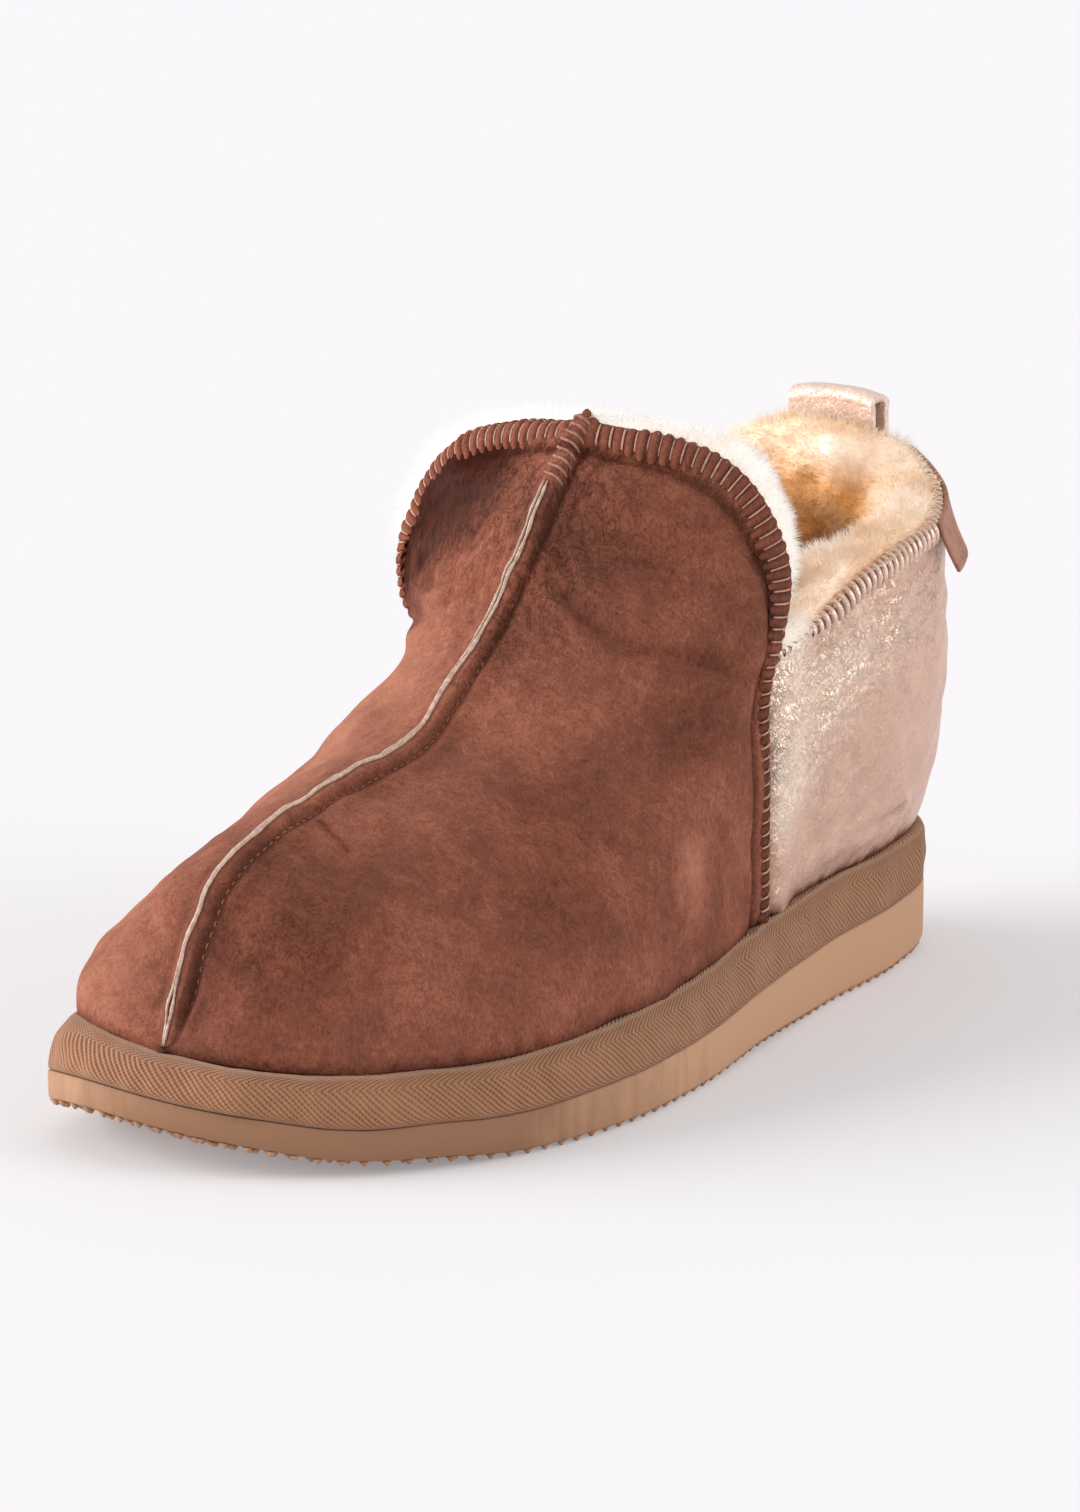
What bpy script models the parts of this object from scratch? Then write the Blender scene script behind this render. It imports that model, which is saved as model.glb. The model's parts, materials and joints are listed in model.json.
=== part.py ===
# Left sheepskin slipper boot: suede vamp with a raised centre seam and a tongue, metallic quarter,
# fleece at the collar, tape-wrapped platform and a ribbed wedge outsole.
# Metres, toe towards -Y, outer side of the foot towards +X, floor at Z = 0.
from collections import namedtuple

import bmesh
import bpy
import numpy as np
from mathutils import Matrix, Vector

# Driving dimensions
SOLE_LENGTH = 0.260
BALL_WIDTH = 0.1085
INSTEP_HEIGHT = 0.1307  # peak of the tongue above the floor
HEEL_HEIGHT = 0.1145  # collar at the back above the floor
NOTCH_HEIGHT = 0.080  # where the tongue and the collar part
TOE_SPRING = 0.011
SPRING_START = 0.78  # part of the sole's length from the heel
ARCH_LIFT = 0.0008
ARCH_STATION = 0.42
ARCH_SPREAD = 0.14
HEEL_LIFT = 0.0024  # the outsole's back edge is eased off the floor
HEEL_LIFT_STATION = 0.12
TOE_TIP_X = -0.008
VAMP_WALL = 0.0026
STEP = 0.0009  # the vamp stands this much proud of the quarter
LAP = 0.0006
GAP = 0.0003  # between neighbouring pieces
HEEL_CENTRE = 0.30  # station the heel's curve is seen from
LATERAL = 1
MEDIAL = -1

# Outline of the sole: stations as parts of the length from the heel, sides as parts of the ball width
SoleRow = namedtuple("SoleRow", "station lateral medial")
SOLE_OUTLINE = (
    SoleRow(station=0.03, lateral=0.220, medial=0.220),
    SoleRow(station=0.12, lateral=0.299, medial=0.308),
    SoleRow(station=0.27, lateral=0.353, medial=0.338),
    SoleRow(station=0.41, lateral=0.424, medial=0.366),
    SoleRow(station=0.55, lateral=0.494, medial=0.438),
    SoleRow(station=0.68, lateral=0.524, medial=0.476),
    SoleRow(station=0.80, lateral=0.482, medial=0.424),
    SoleRow(station=0.90, lateral=0.366, medial=0.374),
    SoleRow(station=0.965, lateral=0.208, medial=0.304),
)

# Thickness of the sole's two layers and how far the upper stands in from the outsole's edge
LayerRow = namedtuple("LayerRow", "station outsole tape inset")
SOLE_LAYERS = (
    LayerRow(station=0.00, outsole=0.0150, tape=0.0116, inset=0.0018),
    LayerRow(station=0.21, outsole=0.0146, tape=0.0116, inset=0.0022),
    LayerRow(station=0.48, outsole=0.0116, tape=0.0112, inset=0.0030),
    LayerRow(station=0.74, outsole=0.0096, tape=0.0100, inset=0.0036),
    LayerRow(station=0.90, outsole=0.0077, tape=0.0094, inset=0.0046),
    LayerRow(station=1.00, outsole=0.0066, tape=0.0090, inset=0.0070),
)

TOE_ROLL_FROM = 0.0036  # the tape follows the upper in at the toe, past this inset
TOE_ROLL = 0.6

# Side of the tape-wrapped platform from its lower edge to the upper's foot
TapeRow = namedtuple("TapeRow", "rise inset")
TAPE_PROFILE = (
    TapeRow(rise=0.00, inset=0.0006),
    TapeRow(rise=0.12, inset=-0.0002),
    TapeRow(rise=0.40, inset=-0.0002),
    TapeRow(rise=0.70, inset=0.0004),
    TapeRow(rise=0.90, inset=0.0012),
    TapeRow(rise=1.00, inset=0.0026),
)

# Hoops of the vamp from the toe to the tongue: where each stands on the sole's edge (part of the
# half outline from the toe), where it meets the centre seam (station, and rise as a part of the way
# up to the instep height), how square its arch is on each side, the half widths of its upper part as
# parts of the ball width and how far its sides lean back towards the top
HOOP_FIELDS = "reach station rise full_lateral full_medial lateral medial lean_lateral lean_medial"
HoopRow = namedtuple("HoopRow", HOOP_FIELDS)
VAMP_HOOPS = (
    HoopRow(0.000, 0.968, 0.000, 1.90, 1.90, 0.000, 0.000, 0.000, 0.000),
    HoopRow(0.050, 0.944, 0.104, 1.90, 1.95, 0.115, 0.140, 0.000, 0.000),
    HoopRow(0.092, 0.923, 0.212, 1.88, 2.00, 0.225, 0.225, 0.000, 0.000),
    HoopRow(0.142, 0.893, 0.310, 1.84, 2.08, 0.320, 0.285, 0.000, 0.000),
    HoopRow(0.200, 0.846, 0.367, 1.80, 2.14, 0.405, 0.325, 0.000, 0.000),
    HoopRow(0.268, 0.781, 0.410, 1.82, 2.18, 0.462, 0.375, 0.000, 0.000),
    HoopRow(0.336, 0.708, 0.425, 1.92, 2.42, 0.486, 0.420, 0.000, 0.000),
    HoopRow(0.403, 0.642, 0.466, 2.04, 2.84, 0.474, 0.420, 0.000, 0.000),
    HoopRow(0.458, 0.592, 0.554, 2.16, 2.70, 0.450, 0.412, 0.000, 0.000),
    HoopRow(0.505, 0.539, 0.652, 2.40, 2.42, 0.432, 0.406, 0.001, 0.000),
    HoopRow(0.543, 0.507, 0.748, 2.80, 2.70, 0.424, 0.418, 0.003, 0.000),
    HoopRow(0.582, 0.464, 0.868, 3.40, 3.10, 0.424, 0.460, 0.005, -0.001),
    HoopRow(0.621, 0.414, 0.984, 4.10, 3.65, 0.430, 0.535, 0.007, -0.003),
)
SEAM_TOE_X = -0.0045  # the seam starts on the inner side of the axis and runs straight from the instep
SEAM_STRAIGHT = 9  # hoop from which it is on the axis
SEAM_PEAK = 0.0035  # the two halves of the vamp meet in a low peak
PEAK_FULL = 3  # hoop from which the peak has its height
TOE_ROUND = 1.0  # how much the first hoops curve forward from the seam, so that the toe's front is convex
TOE_ROUND_END = 4  # hoop at which this curve has faded out
WIDEN_FROM = 0.46  # parts of a hoop's height between which it takes its upper half width
WIDEN_TO = 0.76
LEAN_FROM = 0.42
LEAN_TO = 0.78
RIDGE_FOOT = 0.0026  # raised centre seam: half width at its foot and at its crest, height
RIDGE_CREST = 0.0016
RIDGE_HEIGHT = 0.0024
RIDGE_SHARE = 0.15  # and no more than this part of a short hoop

# Collar of the quarter from behind the notch to the back: station, half width as a part of the ball
# width, height as a part of the heel height
CollarRow = namedtuple("CollarRow", "station half_width height")
COLLAR = (
    CollarRow(station=0.292, half_width=0.373, height=0.755),
    CollarRow(station=0.255, half_width=0.378, height=0.797),
    CollarRow(station=0.177, half_width=0.375, height=0.842),
    CollarRow(station=0.096, half_width=0.345, height=0.874),
    CollarRow(station=0.045, half_width=0.268, height=0.918),
    CollarRow(station=0.025, half_width=0.150, height=0.977),
    CollarRow(station=0.021, half_width=0.000, height=1.000),
)
HEEL_BULGE = 0.0045
SEAM_BLEND = 0.45  # part of the quarter over which its front edge fades into the heel's form

# Counts of facets
OUTLINE_STEPS = 500
HOOP_STEPS = 160
HOOP_COUNT = 24
LOW_COLUMNS = 8  # up the side, sole to notch
HIGH_COLUMNS = 9  # notch to centre seam
QUARTER_COLUMNS = 13  # notch to back, each side
SOLE_PAIRS = 40

# Ribs across the outsole's underside
RIB_PITCH = 0.0052
RIB_DEPTH = 0.0014
RIB_MARGIN = 0.0034  # plain end at the toe and the heel
END_STEPS = (0.0003, 0.0011, 0.0023)
RibRow = namedtuple("RibRow", "part depth")
RIB = (
    RibRow(part=0.00, depth=0),
    RibRow(part=0.55, depth=0),
    RibRow(part=0.65, depth=1),
    RibRow(part=0.90, depth=1),
)

# Insole
INSOLE_THICKNESS = 0.0060
INSOLE_CLEARANCE = 0.0012
INSOLE_TOE_CLEARANCE = 0.0060
INSOLE_TOE_FROM = 0.80
INSOLE_TOE_TO = 0.97
InsoleRow = namedtuple("InsoleRow", "rise inset")
INSOLE_PROFILE = (
    InsoleRow(rise=0.00, inset=0.0010),
    InsoleRow(rise=0.30, inset=0.0000),
    InsoleRow(rise=0.75, inset=0.0008),
    InsoleRow(rise=1.00, inset=0.0040),
)

# Fleece at the collar: depth from the rim and distance in from the wall; a lock stands out further
# and the back lies on the wall
FleeceRow = namedtuple("FleeceRow", "depth inward lock back")
FLEECE_SECTION = (
    FleeceRow(depth=0.024, inward=0.0006, lock=0.0000, back=1),
    FleeceRow(depth=0.012, inward=0.0006, lock=0.0000, back=1),
    FleeceRow(depth=0.001, inward=0.0006, lock=0.0000, back=1),
    FleeceRow(depth=-0.002, inward=0.0022, lock=0.0006, back=0),
    FleeceRow(depth=-0.003, inward=0.0052, lock=0.0012, back=0),
    FleeceRow(depth=0.001, inward=0.0084, lock=0.0016, back=0),
    FleeceRow(depth=0.008, inward=0.0090, lock=0.0022, back=0),
    FleeceRow(depth=0.016, inward=0.0080, lock=0.0022, back=0),
    FleeceRow(depth=0.024, inward=0.0050, lock=0.0010, back=0),
)
NOTCH_FLEECE = 0.6  # the fleece thins at the notch
NOTCH_ROOM = 0.0020  # and stands in from the wall there
NOTCH_STATIONS = 4
LOCK_DIP = 0.4  # hollow beside a lock, as a part of its height
CORNER_DOWN = 0.65  # at the notch the fleece runs down more than ahead
CORNER_REACH = 0.030
CORNER_STEPS = 8
PROBE = 0.002  # distance over which a wall's direction is read

# Pull loop at the back of the collar
LOOP_WIDTH = 0.023
LOOP_THICKNESS = 0.0016
LOOP_RISE = 0.0085  # crest above the collar
LOOP_OUTER_LEG = 0.010
LOOP_INNER_LEG = 0.006
LOOP_BELLY = 0.0010
LOOP_ROOM = 0.0040  # the fleece stands in from the wall behind the loop
LOOP_BESIDE = (0.002, 0.008)  # and comes back to it between these distances beside the loop
LOOP_SEAT = 0.0006  # strap to collar
LOOP_COLUMNS = 6
LOOP_ARC = 8

# Label tab under the collar's back outer corner
LABEL_FROM = 0.58  # parts of the quarter from the notch to the back
LABEL_TO = 0.85
LABEL_HEIGHT = 0.011
LABEL_THICKNESS = 0.0015
LABEL_FLARE = 0.0028
LABEL_COLUMNS = 8
LABEL_ROWS = 3

# Finishes
Finish = namedtuple("Finish", "color roughness metallic")
SUEDE = Finish(color=(0.19, 0.075, 0.040), roughness=0.85, metallic=0)
TAPE = Finish(color=(0.30, 0.18, 0.10), roughness=0.90, metallic=0)
FOAM = Finish(color=(0.42, 0.27, 0.15), roughness=0.85, metallic=0)
WOOL = Finish(color=(0.85, 0.72, 0.52), roughness=0.95, metallic=0)
METALLIC = Finish(color=(0.62, 0.42, 0.32), roughness=0.35, metallic=0.8)
LABEL_LEATHER = Finish(color=(0.28, 0.11, 0.055), roughness=0.60, metallic=0)

# One half of the upper as grids of points: vamp by hoop and column, quarter by column and row
Half = namedtuple("Half", "vamp_outer vamp_inner crest quarter_outer quarter_inner")


def column(rows, name):
    return np.array([getattr(row, name) for row in rows])


def smooth(knots, values, at):
    # smooth curve through the rows of a table
    knots = np.asarray(knots, float)
    values = np.asarray(values, float)
    at = np.clip(np.asarray(at, float), knots[0], knots[-1])
    slopes = np.gradient(values, knots, axis=0)
    i = np.clip(np.searchsorted(knots, at, side="right") - 1, 0, len(knots) - 2)
    span = knots[i + 1] - knots[i]
    u = (at - knots[i]) / span
    if values.ndim == 2:
        u = u[..., None]
        span = span[..., None]
    rise = u * u * (3 - 2 * u)
    start = values[i] * (1 - rise) + slopes[i] * span * u * (1 - u) ** 2
    return start + values[i + 1] * rise - slopes[i + 1] * span * u * u * (1 - u)


def fade(low, high, at):
    u = np.clip((np.asarray(at, float) - low) / (high - low), 0, 1)
    return u * u * (3 - 2 * u)


def lengths(points):
    steps = np.linalg.norm(np.diff(points, axis=0), axis=1)
    return np.concatenate([[0.0], np.cumsum(steps)])


def at_length(points, distance):
    # points of a line at given distances from its start, straight on past its ends
    points = np.asarray(points, float)
    arc = lengths(points)
    distance = np.asarray(distance, float)
    inside = np.stack([np.interp(distance, arc, points[:, k]) for k in range(points.shape[1])], -1)
    lead = (points[0] - points[1]) / arc[1]
    before = np.clip(-distance, 0, None)[..., None]
    return inside + lead * before


def unit(vectors):
    return vectors / np.linalg.norm(vectors, axis=-1, keepdims=True)


def surface_normals(points, towards):
    # unit normals of a grid of points, on the side of the given direction field
    normal = np.cross(np.gradient(points, axis=0), np.gradient(points, axis=1))
    normal = unit(normal)
    return normal * np.sign((normal * towards).sum(-1).mean())


# Sole outline and heights


def station_of(y):
    return 0.5 - np.asarray(y, float) / SOLE_LENGTH


def outline_rows(side):
    share = column(SOLE_OUTLINE, "lateral" if side == LATERAL else "medial")
    along = SOLE_LENGTH * (0.5 - column(SOLE_OUTLINE, "station"))
    return np.stack([side * BALL_WIDTH * share, along], -1)


def outline_half(side):
    # one side of the outline from the toe tip to the heel, finely divided, with outward directions
    heel = np.array([[0.0, SOLE_LENGTH / 2]])
    toe = np.array([[TOE_TIP_X, -SOLE_LENGTH / 2]])
    own = outline_rows(side)
    other = outline_rows(-side)
    knots = np.concatenate([other[:1], heel, own, toe, other[-1:]])
    arc = lengths(knots)
    fine = smooth(arc, knots, np.linspace(arc[-2], arc[1], OUTLINE_STEPS))
    tangent = np.gradient(fine, axis=0)
    outward = unit(np.stack([tangent[:, 1], -tangent[:, 0]], -1)) * side
    return fine, outward, lengths(fine)


OUTLINE = {side: outline_half(side) for side in (LATERAL, MEDIAL)}


def layer(name, y):
    return smooth(column(SOLE_LAYERS, "station"), column(SOLE_LAYERS, name), station_of(y))


def ground(y):
    station = station_of(y)
    spring = TOE_SPRING * np.clip((station - SPRING_START) / (1 - SPRING_START), 0, 1) ** 2
    arch = ARCH_LIFT * (1 - fade(0, ARCH_SPREAD, np.abs(station - ARCH_STATION)))
    ease = HEEL_LIFT * np.clip(1 - station / HEEL_LIFT_STATION, 0, 1) ** 2
    return spring + ease + arch


def outsole_top(y):
    return ground(y) + layer("outsole", y)


def feather_height(y):
    return outsole_top(y) + layer("tape", y)


def edge(side, reach, inset):
    # point of the sole's edge in plan, reach 0 at the toe tip and 1 at the heel, moved in by inset
    fine, outward, arc = OUTLINE[side]
    distance = np.asarray(reach, float) * arc[-1]
    spot = np.stack([np.interp(distance, arc, fine[:, k]) for k in range(2)], -1)
    way = np.stack([np.interp(distance, arc, outward[:, k]) for k in range(2)], -1)
    return spot - way * np.asarray(inset, float)[..., None], way


def feather_edge(side, reach, inset):
    # foot of the upper on the platform, moved in further by inset
    spot, _ = edge(side, reach, np.zeros_like(np.asarray(reach, float)))
    plan, _ = edge(side, reach, layer("inset", spot[..., 1]) + inset)
    return np.concatenate([plan, (feather_height(plan[..., 1]) + GAP)[..., None]], -1)


# Mesh helpers


class Body:
    def __init__(self):
        self.points = []
        self.faces = []

    def add(self, points):
        points = np.asarray(points, float)
        start = len(self.points)
        flat = points.reshape(-1, 3)
        self.points.extend(flat.tolist())
        return np.arange(start, start + len(flat)).reshape(points.shape[:-1])

    def strip(self, first, second):
        for a, b, c, d in zip(first[:-1], first[1:], second[1:], second[:-1]):
            self.faces.append((a, b, c, d))

    def rows(self, grid):
        for first, second in zip(grid[:-1], grid[1:]):
            self.strip(first, second)

    def fan(self, tip, row):
        for a, b in zip(row[:-1], row[1:]):
            self.faces.append((tip, a, b))

    def face(self, *corners):
        self.faces.append(corners)

    def finish(self, name, material, sharp_degrees=35):
        mesh = bpy.data.meshes.new(name)
        faces = [tuple(int(i) for i in face) for face in self.faces]
        mesh.from_pydata(self.points, [], faces)
        work = bmesh.new()
        work.from_mesh(mesh)
        bmesh.ops.recalc_face_normals(work, faces=work.faces)
        work.to_mesh(mesh)
        work.free()
        mesh.shade_smooth()
        mesh.set_sharp_from_angle(angle=np.radians(sharp_degrees))
        mesh.materials.append(material)
        node = bpy.data.objects.new(name, mesh)
        bpy.context.collection.objects.link(node)
        return node


def make_material(name, finish):
    material = bpy.data.materials.new(name)
    material.use_nodes = True
    shader = material.node_tree.nodes["Principled BSDF"]
    shader.inputs["Base Color"].default_value = (*finish.color, 1)
    shader.inputs["Roughness"].default_value = finish.roughness
    shader.inputs["Metallic"].default_value = finish.metallic
    return material


# Sole pieces


def across(body, lateral, medial, heel, toe):
    # cap over a sole outline: strips from side to side and a triangle at each end
    body.strip(lateral, medial)
    body.face(heel, lateral[-1], medial[-1])
    body.face(toe, lateral[0], medial[0])


def rib_stations():
    count = int(SOLE_LENGTH / RIB_PITCH)
    parts = column(RIB, "part")
    along = (np.arange(count)[:, None] + parts[None, :]).ravel() * RIB_PITCH
    depth = np.tile(column(RIB, "depth"), count) * RIB_DEPTH
    y = along - SOLE_LENGTH / 2
    keep = np.abs(y) < SOLE_LENGTH / 2 - RIB_MARGIN
    toe = np.array(END_STEPS) - SOLE_LENGTH / 2
    plain = np.zeros(len(END_STEPS))
    return np.concatenate([toe, y[keep], -toe[::-1]]), np.concatenate([plain, depth[keep], plain])


def outline_at(side, y):
    fine, _, _ = OUTLINE[side]
    return np.interp(y, fine[:, 1], fine[:, 0])


def build_outsole(material):
    body = Body()
    y, depth = rib_stations()
    loops = {}
    for side in (LATERAL, MEDIAL):
        x = outline_at(side, y)
        low = np.stack([x, y, ground(y) + depth], -1)
        high = np.stack([x, y, outsole_top(y)], -1)
        loops[side] = (body.add(low), body.add(high))
    ends = {}
    for name, x_end, y_end in (("toe", TOE_TIP_X, -SOLE_LENGTH / 2), ("heel", 0.0, SOLE_LENGTH / 2)):
        z_low = float(ground(y_end))
        z_high = float(outsole_top(y_end))
        ends[name] = body.add([(x_end, y_end, z_low), (x_end, y_end, z_high)])
    for level in (0, 1):
        across(body, loops[LATERAL][level], loops[MEDIAL][level], ends["heel"][level], ends["toe"][level])
    for side in (LATERAL, MEDIAL):
        low, high = loops[side]
        wall_low = [ends["toe"][0], *low, ends["heel"][0]]
        wall_high = [ends["toe"][1], *high, ends["heel"][1]]
        body.strip(wall_low, wall_high)
    return body.finish("outsole", material)


def edge_pad(name, material, profile, base_inset, bottom, thickness):
    # pad with the sole's outline, its side rounded by the rows of a profile
    body = Body()
    reach = np.linspace(0, 1, SOLE_PAIRS + 2)
    levels = []
    for row in profile:
        ring = {}
        for side in (LATERAL, MEDIAL):
            spot, _ = edge(side, reach, np.zeros_like(reach))
            plan, _ = edge(side, reach, base_inset(spot[:, 1]) + row.inset)
            height = bottom(plan[:, 1]) + row.rise * thickness(plan[:, 1])
            ring[side] = np.concatenate([plan, height[:, None]], -1)
        lateral = body.add(ring[LATERAL])
        medial = np.concatenate([lateral[:1], body.add(ring[MEDIAL][1:-1]), lateral[-1:]])
        levels.append((lateral, medial))
    for (lateral, medial), (lateral_next, medial_next) in zip(levels[:-1], levels[1:]):
        body.strip(lateral, lateral_next)
        body.strip(medial, medial_next)
    for lateral, medial in (levels[0], levels[-1]):
        across(body, lateral[1:-1], medial[1:-1], lateral[-1], lateral[0])
    return body.finish(name, material)


def build_midsole(material):
    def tape_inset(y):
        return np.clip(layer("inset", y) - TOE_ROLL_FROM, 0, None) * TOE_ROLL

    def bottom(y):
        return outsole_top(y) + GAP

    def thickness(y):
        return layer("tape", y) - GAP

    return edge_pad("midsole", material, TAPE_PROFILE, tape_inset, bottom, thickness)


def build_insole(material):
    def insole_inset(y):
        toe = fade(INSOLE_TOE_FROM, INSOLE_TOE_TO, station_of(y)) * INSOLE_TOE_CLEARANCE
        return layer("inset", y) + VAMP_WALL + INSOLE_CLEARANCE + toe

    def bottom(y):
        return feather_height(y) + GAP

    def thickness(y):
        return np.full_like(y, INSOLE_THICKNESS)

    return edge_pad("insole", material, INSOLE_PROFILE, insole_inset, bottom, thickness)


# Upper


def hoop_value(name, t):
    return smooth(np.arange(len(VAMP_HOOPS)), column(VAMP_HOOPS, name), t)


def seam_point(t):
    y = SOLE_LENGTH * (0.5 - hoop_value("station", t))
    foot = feather_height(y) + GAP
    x = SEAM_TOE_X * (1 - fade(0, SEAM_STRAIGHT, t))
    return np.array([x, y, foot + (INSTEP_HEIGHT - foot) * hoop_value("rise", t)])


def hoop_line(side, t):
    # one side of a hoop, from its foot on the platform up to the centre seam, finely divided
    foot = feather_edge(side, hoop_value("reach", t), 0.0)
    seam = seam_point(t)
    angle = np.linspace(0, np.pi / 2, HOOP_STEPS)
    power = 2 / hoop_value("full_lateral" if side == LATERAL else "full_medial", t)
    out = np.cos(angle) ** power
    out[-1] = 0.0
    up = np.sin(angle) ** power
    peak = SEAM_PEAK * min(1.0, float(t) / PEAK_FULL)
    foot_width = np.abs(foot[0] - seam[0])
    top_width = BALL_WIDTH * hoop_value("lateral" if side == LATERAL else "medial", t)
    wide = foot_width + (top_width - foot_width) * fade(WIDEN_FROM, WIDEN_TO, up)
    x = seam[0] + side * wide * out
    lean = hoop_value("lean_lateral" if side == LATERAL else "lean_medial", t)
    back = foot[1] + lean * fade(LEAN_FROM, LEAN_TO, up)
    forward = 1 + TOE_ROUND * (1 - fade(0, TOE_ROUND_END, t))
    y = seam[1] + (back - seam[1]) * out**forward
    z = foot[2] + (seam[2] - peak - foot[2]) * up + peak * (1 - out) ** 2
    return np.stack([x, y, z], -1)


def notch_distance(side):
    line = hoop_line(side, len(VAMP_HOOPS) - 1.0)
    return float(np.interp(NOTCH_HEIGHT, line[:, 2], lengths(line))) / lengths(line)[-1]


def hoop_columns(side, t, notch):
    # points of a hoop: even steps from sole to notch, then to the foot of the raised seam
    line = hoop_line(side, t)
    total = lengths(line)[-1]
    ridge = min(RIDGE_FOOT, RIDGE_SHARE * total)
    low = np.linspace(0, notch * total, LOW_COLUMNS + 1)
    high = np.linspace(notch * total, total - ridge, HIGH_COLUMNS + 1)[1:]
    points = at_length(line, np.concatenate([low, high]))
    crest = at_length(line, total - ridge * RIDGE_CREST / RIDGE_FOOT)
    return points, crest, ridge / RIDGE_FOOT


def vamp_surface(side):
    notch = notch_distance(side)
    steps = np.linspace(0, len(VAMP_HOOPS) - 1, HOOP_COUNT + 1)[1:]
    hoops = [hoop_columns(side, t, notch) for t in steps]
    outer = np.array([hoop[0] for hoop in hoops])
    crest = np.array([hoop[1] for hoop in hoops])
    size = np.array([hoop[2] for hoop in hoops])
    away = outer - np.array([0.0, 0.0, INSTEP_HEIGHT / 3])
    away[..., 1] = 0.0
    normal = surface_normals(outer, away)
    crest = crest + normal[:, -1] * (RIDGE_HEIGHT * size)[:, None]
    inner = outer - normal * VAMP_WALL
    reach = hoop_value("reach", steps)
    inner[:, 0] = feather_edge(side, reach, VAMP_WALL)
    return outer, inner, crest, normal


def quarter_surface(side, vamp_outer, vamp_normal):
    # one half of the quarter, from the vamp's rear edge to the back of the heel: columns by rows
    rear = vamp_outer[-1, : LOW_COLUMNS + 1]
    back = unit(rear - vamp_outer[-2, : LOW_COLUMNS + 1])
    front_edge = rear - vamp_normal[-1, : LOW_COLUMNS + 1] * STEP + back * LAP
    across_share = np.linspace(0, 1, QUARTER_COLUMNS + 1)
    reach = hoop_value("reach", len(VAMP_HOOPS) - 1.0) * (1 - across_share) + across_share
    foot = feather_edge(side, reach, STEP)
    rows = np.stack(
        [
            side * BALL_WIDTH * column(COLLAR, "half_width"),
            SOLE_LENGTH * (0.5 - column(COLLAR, "station")),
            HEEL_HEIGHT * column(COLLAR, "height"),
        ],
        -1,
    )
    mirrored = rows[-2] * np.array([-1, 1, 1])
    knots = np.concatenate([front_edge[-1:], rows, mirrored[None]])
    arc = lengths(knots)
    collar = smooth(arc, knots, across_share * arc[-2])
    _, way = edge(side, reach, np.zeros_like(reach))
    outward = np.concatenate([way, np.zeros_like(way[:, :1])], -1)
    level = np.linspace(0, 1, LOW_COLUMNS + 1)[None, :, None]
    points = foot[:, None] * (1 - level) + collar[:, None] * level
    bulge = HEEL_BULGE * fade(0, SEAM_BLEND, across_share)[:, None, None] * 4 * level * (1 - level)
    points = points + outward[:, None] * bulge
    mismatch = front_edge - points[0]
    points = points + mismatch[None] * (1 - fade(0, SEAM_BLEND, across_share))[:, None, None]
    normal = surface_normals(points, outward[:, None] + np.zeros_like(points))
    inner = points - normal * (VAMP_WALL - STEP)
    inner[:, 0] = feather_edge(side, reach, VAMP_WALL)
    return points, inner


def join_halves(lateral, medial):
    # columns of both halves in one sequence round the heel, the shared back column once
    return np.concatenate([lateral, medial[-2::-1]])


def build_upper(material):
    body = Body()
    sides = {}
    for side in (LATERAL, MEDIAL):
        outer, inner, crest, normal = vamp_surface(side)
        quarter_outer, quarter_inner = quarter_surface(side, outer, normal)
        quarter_inner[0] = inner[-1, : LOW_COLUMNS + 1]
        sides[side] = Half(outer, inner, crest, quarter_outer, quarter_inner)
    index = {}
    for side in (LATERAL, MEDIAL):
        half = sides[side]
        index[side] = (body.add(half.vamp_outer), body.add(half.vamp_inner), body.add(half.crest))
    outer_l, inner_l, crest_l = index[LATERAL]
    outer_m, inner_m, crest_m = index[MEDIAL]
    outer_rows = [
        [*outer_l[h], crest_l[h], crest_m[h], *outer_m[h][::-1]] for h in range(HOOP_COUNT)
    ]
    inner_rows = [[*inner_l[h], *inner_m[h][::-1]] for h in range(HOOP_COUNT)]
    tip_outer = int(body.add(feather_edge(LATERAL, 0.0, 0.0)))
    tip_inner = int(body.add(feather_edge(LATERAL, 0.0, VAMP_WALL)))
    body.rows(outer_rows)
    body.rows(inner_rows)
    body.fan(tip_outer, outer_rows[0])
    body.fan(tip_inner, inner_rows[0])
    # edge of the tongue, across the raised seam too
    for outer, inner in ((outer_l[-1], inner_l[-1]), (outer_m[-1], inner_m[-1])):
        body.strip(outer[LOW_COLUMNS:], inner[LOW_COLUMNS:])
    body.face(outer_l[-1][-1], crest_l[-1], crest_m[-1], outer_m[-1][-1], inner_m[-1][-1], inner_l[-1][-1])
    # foot of the vamp
    for outer, inner in ((outer_l, inner_l), (outer_m, inner_m)):
        body.strip([tip_outer, *outer[:, 0]], [tip_inner, *inner[:, 0]])
    # quarter, whose front edges share the vamp's inner face
    quarter_outer = body.add(join_halves(sides[LATERAL].quarter_outer, sides[MEDIAL].quarter_outer))
    quarter_inner = np.zeros_like(quarter_outer)
    inner_points = join_halves(sides[LATERAL].quarter_inner, sides[MEDIAL].quarter_inner)
    quarter_inner[1:-1] = body.add(inner_points[1:-1])
    quarter_inner[0] = inner_l[-1][: LOW_COLUMNS + 1]
    quarter_inner[-1] = inner_m[-1][: LOW_COLUMNS + 1]
    body.rows(quarter_outer)
    body.rows(quarter_inner)
    body.strip(quarter_outer[:, -1], quarter_inner[:, -1])
    body.strip(quarter_outer[:, 0], quarter_inner[:, 0])
    # step between vamp and quarter
    fronts = (quarter_outer[0], quarter_outer[-1])
    for outer, inner, front in zip((outer_l, outer_m), (inner_l, inner_m), fronts):
        rear = outer[-1][: LOW_COLUMNS + 1]
        body.strip(rear, front)
        body.face(inner[-1][0], rear[0], front[0])
        body.face(inner[-1][LOW_COLUMNS], rear[-1], front[-1])
    return body.finish("upper", material), sides


# Fleece, loop and label


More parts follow.
